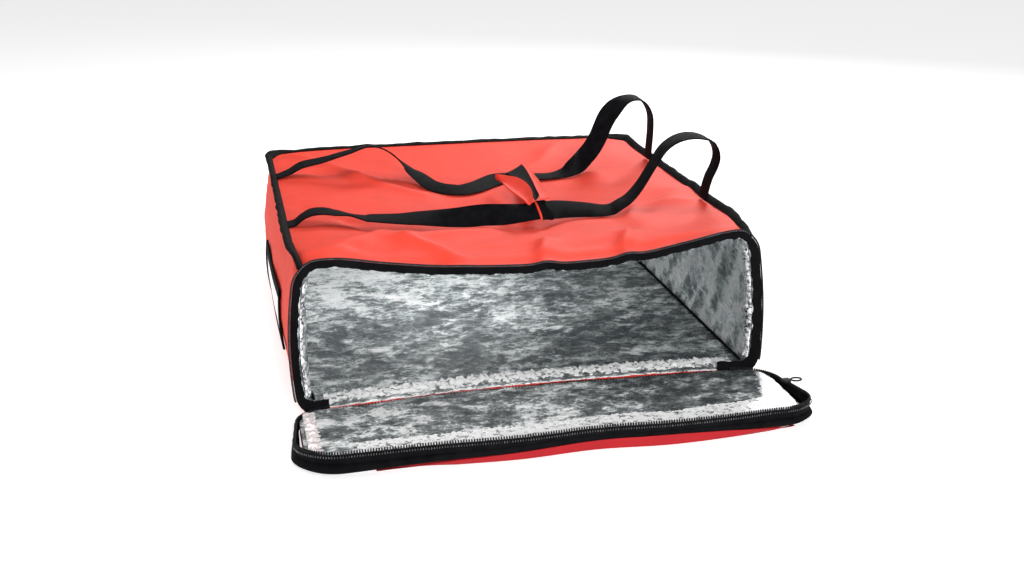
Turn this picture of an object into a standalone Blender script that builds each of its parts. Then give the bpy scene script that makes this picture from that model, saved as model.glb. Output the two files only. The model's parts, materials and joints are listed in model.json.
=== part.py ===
"""Insulated pizza delivery bag with its front flap lying open, in metres.

x runs to the right seen from the opening, y to the back, z up. The origin is the middle of the base.
"""
import math

import bmesh
import bpy
import numpy as np
from mathutils import Vector

# Body
BAG_WIDTH = 0.508
BAG_DEPTH = 0.508
BAG_HEIGHT = 0.157
BACK_CORNER = 0.034
FRONT_CORNER = 0.022
CORNER_FADE = 0.085
SIDE_BULGE = 0.010
TOP_TUCK = 0.020
FOOT_SLIDE = 0.022
FOOT_FADE = 0.150

# Cloth
PADDING = 0.005
FOIL = 0.0012
GAP = 0.0003
MITRE = 0.293

# Tapes
BINDING_WIDTH = 0.0075
BINDING_THICK = 0.0030
BINDING_LEAN = 45
BINDING_BACK_LEAN = 12
BINDING_WAVE = 8
TAPE_INSET = 0.0078
TAPE_FOOT = 0.0145
TAPE_FLARE = 0.0018
TAPE_THICK = 0.0014
TAPE_LEFT_RUN = 0.031
TAPE_RIGHT_RUN = 0.044
TAPE_STEPS = 60
TAPE_EASE = 0.004
TAPE_TURN = 0.006
COIL = 0.0022

# Flap
HINGE_WIDTH = 0.0085
HINGE_EASE = 0.0005
HINGE_FOOT = 0.0010
HINGE_THICK = 0.0042
HINGE_WAVE = 0.0012
FLAP_OVERHANG = 0.003
FLAP_REACH = 0.140
FLAP_CORNER = 0.034
FLAP_REAR_CORNER = 0.038
FLAP_PADDING = 0.0085
FLAP_PUCKER = 0.0011
FLAP_HEM = 0.020
FLAP_WALL = 0.0012
FLAP_WALL_HEIGHT = 0.026
FLAP_WALL_LEAN = 0.013
FLAP_STEP = 0.030
SLIDER_LENGTH = 0.014
SLIDER_WIDTH = 0.0088
SLIDER_HEIGHT = 0.0034
PULL_CORD = 0.0018
PULL_LENGTH = 0.012
PULL_WIDTH = 0.0090

# Handles
WEBBING = 0.025
WEBBING_THICK = 0.0018
WEBBING_REST = 0.0015
WRAP_THICK = 0.0014
HOOK_THICK = 0.0010

# Label sleeve on the left side
LABEL_SETBACK = 0.099
LABEL_LENGTH = 0.200
LABEL_FOOT = 0.030
LABEL_HEIGHT = 0.068
LABEL_TAPE = 0.008
LABEL_OFF = 0.0016

HALF_WIDTH = BAG_WIDTH / 2
HALF_DEPTH = BAG_DEPTH / 2
FRONT_Y = -HALF_DEPTH
TAPE_LEFT_END = -HALF_WIDTH + TAPE_LEFT_RUN
TAPE_RIGHT_END = HALF_WIDTH - TAPE_RIGHT_RUN
HINGE_Y = FRONT_Y - GAP - HINGE_WIDTH
HALF_FLAP = HALF_WIDTH + FLAP_OVERHANG
FLAP_START = HINGE_Y - GAP
FLAP_FRONT = FLAP_START - FLAP_REACH
LABEL_FRONT = FRONT_Y + LABEL_SETBACK
LABEL_BACK = LABEL_FRONT + LABEL_LENGTH
LABEL_LOW = LABEL_FOOT
LABEL_HIGH = LABEL_LOW + LABEL_HEIGHT

# Depth rows before the back corner arcs, as shares of half the depth
DEPTH_SHARES = (-1, -0.965, -0.91, -0.83, -0.72, -0.56, -0.38, -0.18, 0.02, 0.22, 0.42, 0.62)
WIDTH_SHARES = (-1, -0.965, -0.91, -0.82, -0.68, -0.5, -0.3, -0.15, 0, 0.15, 0.3, 0.5, 0.68, 0.82, 0.91, 0.965, 1)
FLOOR_SHARES = (-1, -0.965, -0.91, -0.76, -0.55, -0.28, 0, 0.28, 0.55, 0.76, 0.91, 0.965, 1)
WALL_SHARES = (0, 0.06, 0.2, 0.5, 0.8, 0.94, 1)
FLAP_ROWS = (0, 0.33, 0.67)
FLAP_COLUMNS = (-1, -0.95, -0.86, -0.7, -0.5, -0.3, -0.1, 0.1, 0.3, 0.5, 0.7, 0.86, 0.95, 1)
ARC_STEPS = 3

# Height of the top above the seam height, in hundredths of the bag's height
SAG_X = (-1, -0.85, -0.64, -0.42, -0.14, 0.12, 0.44, 0.7, 0.89, 1)
SAG = {
    -1.0: (0, 1.5, -3.5, -8, -11, -12, -9.5, -2.5, 3, 3.5),
    -0.84: (1, 3, -0.5, -3, -6.5, -6.5, -4.5, -0.5, 1.5, 2),
    -0.45: (0, 0.5, -3, -6, -9.5, -9.5, -7.5, -4.5, -0.5, 0),
    0.0: (0, 0, -2.5, -5, -7.5, -7.5, -6, -2.5, 0, 0),
    0.45: (0, 1, 0, -3, -5.5, -6, -5, -2, 0.5, 0),
    1.0: (-0.5, 1, 2, 2, 2, 2, 1.8, 1.3, 0.5, -1),
}

# Soft ridges on the top: ends as shares of half the width and depth, height and
# width as shares of the bag's height
TOP_FOLDS = (
    # x1, y1, x2, y2, height, width
    (-0.93, -0.90, -0.60, -0.66, 0.020, 0.11),
    (-0.55, -0.72, -0.10, -0.52, 0.026, 0.11),
    (-0.52, -0.74, -0.30, -0.92, 0.022, 0.09),
    (0.12, -0.80, 0.06, -0.97, 0.028, 0.08),
    (0.49, -0.80, 0.42, -0.98, 0.024, 0.08),
    (0.60, -0.62, 0.97, -0.20, 0.020, 0.12),
    (-0.95, 0.42, -0.55, 0.38, 0.024, 0.12),
    (0.55, 0.45, 0.96, 0.86, 0.020, 0.14),
)

# Sideways bulge at half height along the wall, as shares of SIDE_BULGE
BULGE_AT = (0, 0.12, 0.28, 0.38, 0.5, 0.62, 0.72, 0.88, 1)
BULGE = (0.6, 1.35, 1.1, 0.4, 0.65, 0.4, 0.7, 0.8, 0.5)

# How far the foot of the opening and the front edge of the flap stand forward, as
# shares of FOOT_SLIDE, by share of half the width
PUSH_AT = (-1, -0.85, -0.5, -0.2, 0.1, 0.4, 0.7, 0.85, 1)
FOOT_PUSH = (1.0, 0.77, 0.32, 0.05, 0, 0.05, 0.2, 0.36, 0.55)
FLAP_PUSH = (0.59, 0.64, 0.68, 0.82, 0.59, 0.82, 0.59, 0.36, 0.27)

# Wall of the flap by share of its length from the left end of the hinge: heights as shares
# of FLAP_WALL_HEIGHT, then distances out as shares of FLAP_WALL_LEAN
FLAP_WALL_AT = (0, 0.06, 0.13, 0.20, 0.28, 0.40, 0.50, 0.60, 0.70, 0.80, 0.87, 0.94, 1)
FLAP_RISE = {
    "low": (0.046, 0.035, 0.027, 0.023, 0.115, 0.25, 0.308, 0.327, 0.269, 0.077, 0.031, 0.035, 0.046),
    "belly_height": (0.096, 0.135, 0.192, 0.231, 0.288, 0.385, 0.442, 0.462, 0.404, 0.269, 0.192, 0.135, 0.096),
    "seam_height": (0.154, 0.212, 0.327, 0.462, 0.5, 0.558, 0.615, 0.615, 0.558, 0.462, 0.327, 0.212, 0.154),
    "rim_height": (0.269, 0.385, 0.615, 0.865, 0.942, 0.981, 1, 1, 0.962, 0.865, 0.615, 0.385, 0.269),
}
FLAP_LEAN = {
    "belly_out": (0.115, 0.308, 0.769, 1.077, 0.923, 0.692, 0.538, 0.462, 0.615, 0.846, 0.692, 0.385, 0.115),
    "seam_out": (0.077, 0.115, 0.385, 0.615, 0.615, 0.615, 0.538, 0.538, 0.538, 0.538, 0.385, 0.154, 0.077),
    "rim_out": (0.115, 0.192, 0.538, 0.846, 0.923, 1, 1, 0.923, 0.846, 0.692, 0.538, 0.231, 0.115),
}

# Slider: place along it as a share of half its length, half width and height as shares
# of its width and height
SLIDER = ((-1, 0.34, 0.6), (-0.5, 0.5, 1), (0.5, 0.5, 1), (1, 0.39, 0.65))

# Handles: x and y as shares of half the width and depth, lift of the lower edge
# above the top as a share of the bag's height, then the direction across the webbing
FRONT_HANDLE = (
    # x, y, lift, across x, across y, across z
    (-0.982, -0.413, 0.000, 0, 1, 0),
    (-0.955, -0.413, 0.012, 0, 1, 0),
    (-0.930, -0.413, 0.042, 0, 1, 0),
    (-0.890, -0.413, 0.068, 0, 1, 0.05),
    (-0.845, -0.417, 0.078, 0, 1, 0.05),
    (-0.800, -0.421, 0.076, 0, 1, 0.03),
    (-0.757, -0.425, 0.068, 0, 1, -0.06),
    (-0.712, -0.429, 0.054, 0, 1, -0.16),
    (-0.668, -0.433, 0.050, 0, 1, -0.08),
    (-0.623, -0.437, 0.050, 0, 1, 0.05),
    (-0.578, -0.441, 0.046, 0, 1, 0.12),
    (-0.488, -0.445, 0.040, 0, 0.97, 0.22),
    (-0.398, -0.453, 0.038, 0, 0.92, 0.38),
    (-0.306, -0.457, 0.031, 0, 0.83, 0.56),
    (-0.214, -0.461, 0.024, 0, 0.66, 0.75),
    (-0.120, -0.461, 0.014, 0, 0.35, 0.93),
    (-0.025, -0.456, 0.022, 0, 0.45, 0.87),
    (0.072, -0.450, 0.042, 0, 0.75, 0.65),
    (0.168, -0.443, 0.055, 0, 0.8, 0.55),
    (0.230, -0.420, 0.038, 0, 0.8, 0.6),
    (0.290, -0.388, 0.020, 0, 0.8, 0.6),
    (0.383, -0.370, 0.003, 0, 0.87, 0.5),
    (0.474, -0.390, 0.003, 0, 0.95, 0.3),
    (0.522, -0.405, 0.018, 0, 0.97, 0.2),
    (0.560, -0.425, 0.056, 0, 0.97, 0.2),
    (0.607, -0.425, 0.104, 0, 1, 0.15),
    (0.660, -0.415, 0.186, 0, 1, 0.1),
    (0.708, -0.413, 0.291, 0, 1, 0.1),
    (0.759, -0.413, 0.401, 0, 1, 0.1),
    (0.802, -0.413, 0.452, 0, 1, 0.1),
    (0.850, -0.413, 0.481, 0, 1, 0.12),
    (0.900, -0.413, 0.493, 0, 1, 0.12),
    (0.950, -0.413, 0.488, 0, 1, 0.08),
    (0.996, -0.413, 0.466, 0, 1, 0),
    (1.025, -0.413, 0.414, 0, 1, 0),
    (1.037, -0.413, 0.340, 0, 1, 0),
    (1.027, -0.413, 0.263, 0, 1, 0),
    (1.003, -0.413, 0.180, 0, 1, 0),
    (0.988, -0.413, 0.095, 0, 1, 0),
    (0.983, -0.413, 0.045, 0, 1, 0),
    (0.981, -0.413, 0.006, 0, 1, 0),
)
REAR_HANDLE = (
    # x, y, lift, across x, across y, across z
    (-0.985, 0.433, 0.000, 0, 1, 0),
    (-0.968, 0.433, 0.004, 0, 1, 0),
    (-0.925, 0.433, 0.020, 0, 1, 0.05),
    (-0.873, 0.433, 0.058, 0, 1, 0.1),
    (-0.822, 0.433, 0.079, 0, 1, 0.08),
    (-0.771, 0.433, 0.098, 0, 1, 0.05),
    (-0.719, 0.433, 0.125, 0, 1, 0),
    (-0.668, 0.433, 0.150, 0, 1, -0.03),
    (-0.616, 0.433, 0.175, 0, 1, -0.06),
    (-0.564, 0.433, 0.204, 0, 1, -0.12),
    (-0.513, 0.433, 0.224, 0, 1, -0.16),
    (-0.462, 0.433, 0.222, 0, 1, -0.16),
    (-0.411, 0.433, 0.187, 0, 1, -0.15),
    (-0.361, 0.425, 0.130, 0, 1, -0.08),
    (-0.315, 0.390, 0.082, 0.2, 0.95, 0),
    (-0.275, 0.315, 0.045, 0.4, 0.9, 0.1),
    (-0.238, 0.240, 0.014, 0.55, 0.8, 0.15),
    (-0.196, 0.185, 0.003, 0.6, 0.75, 0.2),
    (-0.150, 0.145, 0.003, 0.4, 0.9, 0.25),
    (-0.100, 0.130, 0.003, 0.1, 1, 0.25),
    (-0.045, 0.150, 0.003, -0.2, 0.95, 0.25),
    (0.012, 0.193, 0.003, -0.35, 0.9, 0.25),
    (0.076, 0.250, 0.003, -0.35, 0.9, 0.3),
    (0.139, 0.295, 0.003, -0.2, 0.95, 0.3),
    (0.240, 0.312, 0.003, 0, 1, 0.2),
    (0.356, 0.316, 0.003, 0, 1, 0.08),
    (0.410, 0.314, 0.003, 0, 1, 0.05),
    (0.461, 0.310, 0.004, 0, 1, 0.15),
    (0.515, 0.310, 0.006, -0.1, 0.9, 0.4),
    (0.570, 0.345, 0.012, -0.35, 0.65, 0.65),
    (0.625, 0.400, 0.040, -0.55, 0.4, 0.7),
    (0.668, 0.425, 0.100, -0.7, 0.25, 0.65),
    (0.700, 0.433, 0.185, -0.8, 0.15, 0.55),
    (0.722, 0.433, 0.275, -0.85, 0.1, 0.45),
    (0.748, 0.433, 0.365, -0.8, 0.3, 0.35),
    (0.791, 0.433, 0.445, -0.6, 0.65, 0.3),
    (0.845, 0.433, 0.506, -0.2, 0.95, 0.2),
    (0.900, 0.433, 0.523, 0, 1, 0.1),
    (0.939, 0.433, 0.504, 0, 1, 0.03),
    (0.968, 0.433, 0.453, 0, 1, 0),
    (0.987, 0.433, 0.376, 0, 1, 0),
    (0.990, 0.433, 0.265, 0, 1, 0),
    (0.987, 0.433, 0.161, 0, 1, 0),
    (0.984, 0.433, 0.085, 0, 1, 0),
    (0.982, 0.433, 0.006, 0, 1, 0),
)
HANDLE_STEPS = 62

# Grip: y and x as shares, rise above the top and width as shares of the bag's height
WRAP = (
    # y, x, rise, width, curl
    (0.385, 0.215, 0.055, 0.29, 0.5),
    (0.290, 0.212, 0.061, 0.30, 0.9),
    (0.150, 0.208, 0.088, 0.30, 1.0),
    (0.000, 0.203, 0.120, 0.28, 1.0),
    (-0.140, 0.200, 0.148, 0.24, 1.0),
    (-0.260, 0.200, 0.172, 0.18, 0.7),
    (-0.350, 0.200, 0.190, 0.13, 0.3),
    (-0.425, 0.200, 0.196, 0.11, 0.0),
    (-0.480, 0.200, 0.180, 0.10, 0.0),
    (-0.508, 0.200, 0.135, 0.10, 0.0),
    (-0.518, 0.200, 0.070, 0.11, 0.0),
)
WRAP_STEPS = 14
WRAP_SHARES = (-0.5, -0.4, -0.28, -0.12, 0.08, 0.28, 0.5)
HOOK_SHARES = (-0.13, 0.02, 0.16)


def material(name, colour, roughness, metallic=0.0):
    """Plain material of one subcomponent."""
    made = bpy.data.materials.new(name)
    made.use_nodes = True
    shader = made.node_tree.nodes["Principled BSDF"]
    shader.inputs["Base Color"].default_value = (*colour, 1)
    shader.inputs["Roughness"].default_value = roughness
    shader.inputs["Metallic"].default_value = metallic
    made.diffuse_color = (*colour, 1)
    return made


LOOKS = {
    "red": ((0.80, 0.09, 0.06), 0.70, 0.0),
    "foil": ((0.62, 0.63, 0.65), 0.25, 0.9),
    "black": ((0.015, 0.015, 0.018), 0.65, 0.0),
    "coil": ((0.05, 0.05, 0.055), 0.40, 0.0),
    "clear": ((0.80, 0.81, 0.82), 0.20, 0.0),
}


def slouch(point):
    """The whole bag slouches: its top draws in and its foot slides forward at the opening."""
    raised = min(max(point.z / BAG_HEIGHT, 0), 1)
    x = point.x * (1 - TOP_TUCK * raised)
    side = point.x / HALF_WIDTH
    beyond = min(max((HINGE_Y - point.y) / FLAP_REACH, 0), 1)
    foot = smooth_value(PUSH_AT, FOOT_PUSH, side) * (1 - beyond)
    push = (foot + smooth_value(PUSH_AT, FLAP_PUSH, side) * beyond) * FOOT_SLIDE
    ahead = min(max(1 - (point.y - FRONT_Y) / FOOT_FADE, 0), 1)
    y = point.y - push * (1 - raised) * ahead * ahead * (3 - 2 * ahead)
    return (x, y, point.z)


def add_piece(name, points, faces, look):
    """One closed body from its points and faces."""
    mesh = bpy.data.meshes.new(name)
    mesh.from_pydata([slouch(point) for point in points], [], faces)
    cleaned = bmesh.new()
    cleaned.from_mesh(mesh)
    bmesh.ops.recalc_face_normals(cleaned, faces=cleaned.faces)
    cleaned.to_mesh(mesh)
    cleaned.free()
    mesh.shade_smooth()
    piece = bpy.data.objects.new(name, mesh)
    mesh.materials.append(material(name, *LOOKS[look]))
    bpy.context.collection.objects.link(piece)
    return piece


def add_slab(name, outer, inner, look):
    """Closed slab between two grids of the same size."""
    rows, columns = len(outer), len(outer[0])
    points = [point for grid in (outer, inner) for row in grid for point in row]
    layer = rows * columns
    faces = []
    for row in range(rows - 1):
        for column in range(columns - 1):
            first = row * columns + column
            across = first + columns + 1
            for half in ([first, first + 1, across], [first, across, first + columns]):
                faces.append(half)
                faces.append([index + layer for index in reversed(half)])
    border = [column for column in range(columns)]
    border += [row * columns + columns - 1 for row in range(1, rows)]
    border += [(rows - 1) * columns + column for column in range(columns - 2, -1, -1)]
    border += [row * columns for row in range(rows - 2, 0, -1)]
    for here, there in zip(border, border[1:] + border[:1]):
        faces.append([there, here, here + layer, there + layer])
    return add_piece(name, points, faces, look)


def add_sweep(name, rings, look, closed=False):
    """Closed body through rings of the same size."""
    size = len(rings[0])
    points = [point for ring in rings for point in ring]
    faces = []
    pairs = list(zip(range(len(rings) - 1), range(1, len(rings))))
    if closed:
        pairs.append((len(rings) - 1, 0))
    for one, other in pairs:
        for side in range(size):
            beside = (side + 1) % size
            faces.append([one * size + side, one * size + beside, other * size + beside, other * size + side])
    if not closed:
        faces.append(list(range(size)))
        faces.append([(len(rings) - 1) * size + side for side in reversed(range(size))])
    return add_piece(name, points, faces, look)


def smooth_value(knots, values, at):
    """Value at one place of a smooth curve through the given values."""
    knots = np.asarray(knots, dtype=float)
    values = np.asarray(values, dtype=float)
    slopes = np.gradient(values, knots)
    index = int(np.clip(np.searchsorted(knots, at) - 1, 0, len(knots) - 2))
    span = knots[index + 1] - knots[index]
    t = float(np.clip((at - knots[index]) / span, 0, 1))
    start = (1 + 2 * t) * (1 - t) ** 2 * values[index] + t * (1 - t) ** 2 * span * slopes[index]
    end = t * t * (3 - 2 * t) * values[index + 1] - t * t * (1 - t) * span * slopes[index + 1]
    return float(start + end)


def smooth_rows(table, steps):
    """A table resampled along a smooth curve through its rows."""
    columns = list(zip(*table))
    knots = list(range(len(table)))
    places = np.linspace(0, len(table) - 1, steps + 1)
    return [[smooth_value(knots, column, at) for column in columns] for at in places]


def fold_height(x, y):
    """Height of the soft ridges at one place of the top."""
    total = 0.0
    here = Vector((x, y))
    for x1, y1, x2, y2, height, width in TOP_FOLDS:
        start = Vector((x1 * HALF_WIDTH, y1 * HALF_DEPTH))
        run = Vector((x2 * HALF_WIDTH, y2 * HALF_DEPTH)) - start
        share = min(max((here - start).dot(run) / run.length_squared, 0), 1)
        distance = (here - start - run * share).length
        total += height * BAG_HEIGHT * math.exp(-((distance / (width * BAG_HEIGHT)) ** 2))
    return total


def top_height(x, y):
    """Height of the outer face of the top, before its rounded edges."""
    across = x / HALF_WIDTH
    along = min(max(y / HALF_DEPTH, -1), 1)
    rows = [smooth_value(SAG_X, row, across) for row in SAG.values()]
    sag = smooth_value(list(SAG), rows, along)
    return BAG_HEIGHT * (1 + sag / 100) + fold_height(x, y)


def edge_radius(y, inset):
    """Radius of the long edges, which grows towards the opening."""
    share = min(max(1 - (y - FRONT_Y) / CORNER_FADE, 0), 1)
    radius = FRONT_CORNER * share * share * (3 - 2 * share)
    return max(radius - inset, 0)


def edge_drop(from_edge, radius):
    """How far a rounded edge falls away at one distance from the side."""
    if from_edge >= radius:
        return 0.0
    return radius - math.sqrt(radius ** 2 - (radius - from_edge) ** 2)


def outline_rows():
    """Left outline of the body: place and outward direction of each depth row."""
    rows = [(Vector((-HALF_WIDTH, share * HALF_DEPTH, 0)), Vector((-1, 0, 0))) for share in DEPTH_SHARES]
    centre = Vector((-HALF_WIDTH + BACK_CORNER, HALF_DEPTH - BACK_CORNER, 0))
    for step in range(ARC_STEPS + 1):
        angle = math.radians(90 * step / ARC_STEPS)
        outward = Vector((-math.cos(angle), math.sin(angle), 0))
        rows.append((centre + outward * BACK_CORNER, outward))
    return rows


def stations(shares):
    """The whole outline from the front left round the back to the front right."""
    left = outline_rows()
    reach = -left[-1][0].x
    back = [(Vector((share * reach, HALF_DEPTH, 0)), Vector((0, 1, 0))) for share in shares[1:-1]]
    right = [(Vector((-place.x, place.y, 0)), Vector((-out.x, out.y, 0))) for place, out in reversed(left)]
    return left + back + right


def panel_grid(shares, inset, height_at, upward):
    """Grid over the body at one inset, with its long edges rounded."""
    grid = []
    for place, outward in outline_rows():
        radius = edge_radius(place.y, inset)
        edge = place - outward * (inset + MITRE * radius + GAP)
        half = HALF_WIDTH - inset
        row = []
        for share in shares:
            x = -edge.x * share
            drop = edge_drop(half - abs(x), radius)
            z = height_at(x, edge.y) - upward * (inset + drop)
            row.append(Vector((x, edge.y, z)))
        grid.append(row)
    return grid


def wall_bulge(index, count, share):
    """Sideways bulge of the wall at one station and height share."""
    return SIDE_BULGE * smooth_value(BULGE_AT, BULGE, index / (count - 1)) * math.sin(math.pi * share)


def wall_grid(inset, shares=WIDTH_SHARES):
    """Grid of the wall band at one inset: one row a station, from base to top."""
    around = stations(shares)
    grid = []
    for index, (place, outward) in enumerate(around):
        radius = edge_radius(place.y, inset)
        edge = place - outward * (inset + MITRE * radius)
        low = inset + MITRE * radius + GAP
        high = top_height(edge.x, edge.y) - low
        row = []
        for share in WALL_SHARES:
            z = low + (high - low) * share
            ends = min(z - low, high - z) + (low - inset - GAP)
            drop = edge_drop(max(ends, 0), radius)
            out = wall_bulge(index, len(around), share) - inset - drop
            row.append(Vector((place.x + outward.x * out, place.y + outward.y * out, z)))
        grid.append(row)
    return grid


def no_height(x, y):
    """Height of the base."""
    return 0.0


def build_shell():
    """Padded panels and the foil inside them."""
    inner = PADDING + GAP
    for name, start, thick, look in (("panel", 0, PADDING, "red"), ("lining", inner, FOIL, "foil")):
        top = [panel_grid(WIDTH_SHARES, start + depth, top_height, 1) for depth in (0, thick)]
        base = [panel_grid(FLOOR_SHARES, start + depth, no_height, -1) for depth in (0, thick)]
        wall = [wall_grid(start + depth) for depth in (0, thick)]
        names = ("top_panel", "bottom_panel", "wall_band")
        if name == "lining":
            names = ("lining_top", "lining_floor", "lining_walls")
        add_slab(names[0], *top, look)
        add_slab(names[1], *base, look)
        add_slab(names[2], *wall, look)


def build_top_binding():
    """Tape folded over the top seam, standing out from it."""
    rings = []
    around = stations(WIDTH_SHARES)
    for index, (place, outward) in enumerate(around):
        radius = edge_radius(place.y, 0)
        edge = place - outward * (MITRE * radius)
        seam = Vector((edge.x, edge.y, top_height(edge.x, edge.y) - MITRE * radius))
        lean = BINDING_LEAN + (BINDING_BACK_LEAN - BINDING_LEAN) * outward.y
        wave = math.radians(lean + BINDING_WAVE * math.sin(0.9 * index) * (1 - outward.y))
        reach = outward * math.cos(wave) + Vector((0, 0, 1)) * math.sin(wave)
        across = outward * -math.sin(wave) + Vector((0, 0, 1)) * math.cos(wave)
        if index in (0, len(around) - 1):
            seam.y += 2 * GAP
        near = seam + reach * 2 * GAP
        far = seam + reach * BINDING_WIDTH
        half = across * BINDING_THICK / 2
        rings.append([near - half, far - half, far + half, near + half])
    add_sweep("top_binding", rings, "black")


def opening_outline():
    """Outer outline of the opening from the left tape end over the top to the right one."""
    wall = wall_grid(0)
    left = wall[0]
    right = wall[-1]
    top = panel_grid(WIDTH_SHARES, 0, top_height, 1)[0]
    base = panel_grid(FLOOR_SHARES, 0, no_height, -1)[0]
    loop = [Vector((TAPE_LEFT_END, FRONT_Y, 0))]
    loop += [point for point in reversed(base[:3]) if point.x < TAPE_LEFT_END - TAPE_EASE]
    loop += left + top[1:-1] + list(reversed(right))
    loop += [point for point in reversed(base[-3:]) if point.x > TAPE_RIGHT_END + TAPE_EASE]
    loop.append(Vector((TAPE_RIGHT_END, FRONT_Y, 0)))
    lengths = [0.0]
    for here, there in zip(loop, loop[1:]):
        lengths.append(lengths[-1] + (there - here).length)
    return loop, lengths


def opening_frames(steps):
    """Evenly spaced places on the opening's outline with the direction outwards."""
    loop, lengths = opening_outline()
    frames = []
    for at in np.linspace(0, lengths[-1], steps + 1):
        places = []
        for near in (max(at - TAPE_TURN, 0), at, min(at + TAPE_TURN, lengths[-1])):
            x = np.interp(near, lengths, [point.x for point in loop])
            z = np.interp(near, lengths, [point.z for point in loop])
            places.append(Vector((x, FRONT_Y, z)))
        along = (places[2] - places[0]).normalized()
        frames.append((places[1], Vector((-along.z, 0, along.x))))
    return frames


def build_opening_tape():
    """Zip tape round the opening with the coil on its outer edge."""
    forward = Vector((0, -1, 0))
    tape = []
    coil = []
    for place, outward in opening_frames(TAPE_STEPS):
        inset = TAPE_INSET + (TAPE_FOOT - TAPE_INSET) * max(-outward.z, 0) ** 2
        inner = place - outward * inset + forward * 3 * GAP
        outer = place + outward * TAPE_FLARE + forward * (TAPE_FLARE + 3 * GAP)
        outer.z = max(outer.z, 2 * GAP)
        if abs(outward.x) < 0.3 and outward.z < 0:
            inner.x = place.x
            outer.x = place.x
        thick = forward * TAPE_THICK
        tape.append([inner, inner + thick, outer + thick, outer])
        if place.z > BAG_HEIGHT * 0.1:
            near = outer + outward * GAP + forward * TAPE_THICK / 2
            far = near + outward * COIL
            half = forward * COIL / 2
            coil.append([near - half, near + half, far + half, far - half])
    add_sweep("opening_zip_tape", tape, "black")
    add_sweep("opening_zip_teeth", coil, "coil")


def build_hinge():
    """Seam strip between the base and the flap."""
    back = FRONT_Y - GAP - HINGE_EASE
    front = HINGE_Y + HINGE_EASE
    rings = []
    for x in np.linspace(TAPE_LEFT_END + 2 * GAP, TAPE_RIGHT_END - 2 * GAP, 23):
        top = HINGE_FOOT + HINGE_THICK + HINGE_WAVE * math.sin(9.7 * x / HALF_WIDTH)
        rings.append([
            Vector((x, back, HINGE_FOOT)),
            Vector((x, front, HINGE_FOOT)),
            Vector((x, front, top)),
            Vector((x, back, top)),
        ])
    add_sweep("hinge_strip", rings, "red")


def flap_outline():
    """Left outline of the flap from the hinge to its front edge."""
    half = HALF_FLAP
    rows = []
    centre = Vector((-half + FLAP_REAR_CORNER, FLAP_START - FLAP_REAR_CORNER, 0))
    for step in range(ARC_STEPS):
        angle = math.radians(90 - 90 * step / ARC_STEPS)
        outward = Vector((-math.cos(angle), math.sin(angle), 0))
        rows.append((centre + outward * FLAP_REAR_CORNER, outward))
    straight = FLAP_REACH - FLAP_CORNER - FLAP_REAR_CORNER
    for share in FLAP_ROWS:
        rows.append((Vector((-half, centre.y - share * straight, 0)), Vector((-1, 0, 0))))
    centre = Vector((-half + FLAP_CORNER, FLAP_FRONT + FLAP_CORNER, 0))
    for step in range(ARC_STEPS + 1):
        angle = math.radians(90 * step / ARC_STEPS)
        outward = Vector((-math.cos(angle), -math.sin(angle), 0))
        rows.append((centre + outward * FLAP_CORNER, outward))
    return rows


def flap_height(x, y):
    """Height of the padded flap's upper face, puckered along its stitching."""
    rim = min(HALF_FLAP - abs(x), y - FLAP_FRONT)
    waves = math.sin(11.7 * x / HALF_WIDTH + 3) * math.sin(4.2 * (y - HINGE_Y) / FLAP_REACH)
    return FLAP_PADDING + FLAP_PUCKER * waves * min(max(rim / FLAP_HEM, 0), 1)


def flap_grid(height_at, inset=0.0, raise_by=0.0):
    """Grid over the flap."""
    grid = []
    for place, outward in flap_outline():
        edge = place - outward * inset
        row = []
        for share in FLAP_COLUMNS:
            x = -edge.x * share
            row.append(Vector((x, edge.y, height_at(x, edge.y) + raise_by)))
        grid.append(row)
    return grid


def flap_stations():
    """Outline of the flap from the left end of the hinge to the right one."""
    left = flap_outline()
    reach = -left[-1][0].x
    front = [(Vector((share * reach, FLAP_FRONT, 0)), Vector((0, -1, 0))) for share in FLAP_COLUMNS[1:-1]]
    right = [(Vector((-place.x, place.y, 0)), Vector((-out.x, out.y, 0))) for place, out in reversed(left)]
    around = left + front + right
    finer = []
    for (here, out), (there, out_there) in zip(around, around[1:]):
        finer.append((here, out))
        if (there - here).length > FLAP_STEP:
            finer.append(((here + there) / 2, (out + out_there).normalized()))
    finer.append(around[-1])
    return finer


def flap_wall_frames():
    """Place, outward direction and section sizes along the flap's wall, which ends beside the hinge."""
    around = flap_stations()[1:-1]
    lengths = [0.0]
    for (here, _), (there, _) in zip(around, around[1:]):
        lengths.append(lengths[-1] + (there - here).length)
    frames = []
    for (place, outward), length in zip(around, lengths):
        share = length / lengths[-1]
        section = {}
        for name, shares in FLAP_RISE.items():
            section[name] = smooth_value(FLAP_WALL_AT, shares, share) * FLAP_WALL_HEIGHT
        for name, shares in FLAP_LEAN.items():
            section[name] = smooth_value(FLAP_WALL_AT, shares, share) * FLAP_WALL_LEAN
        frames.append((place, outward, section))
    return frames


def at_section(place, outward, out, height):
    """Point of the flap's wall at one distance out and up."""
    return Vector((place.x + outward.x * out, place.y + outward.y * out, height))


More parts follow.
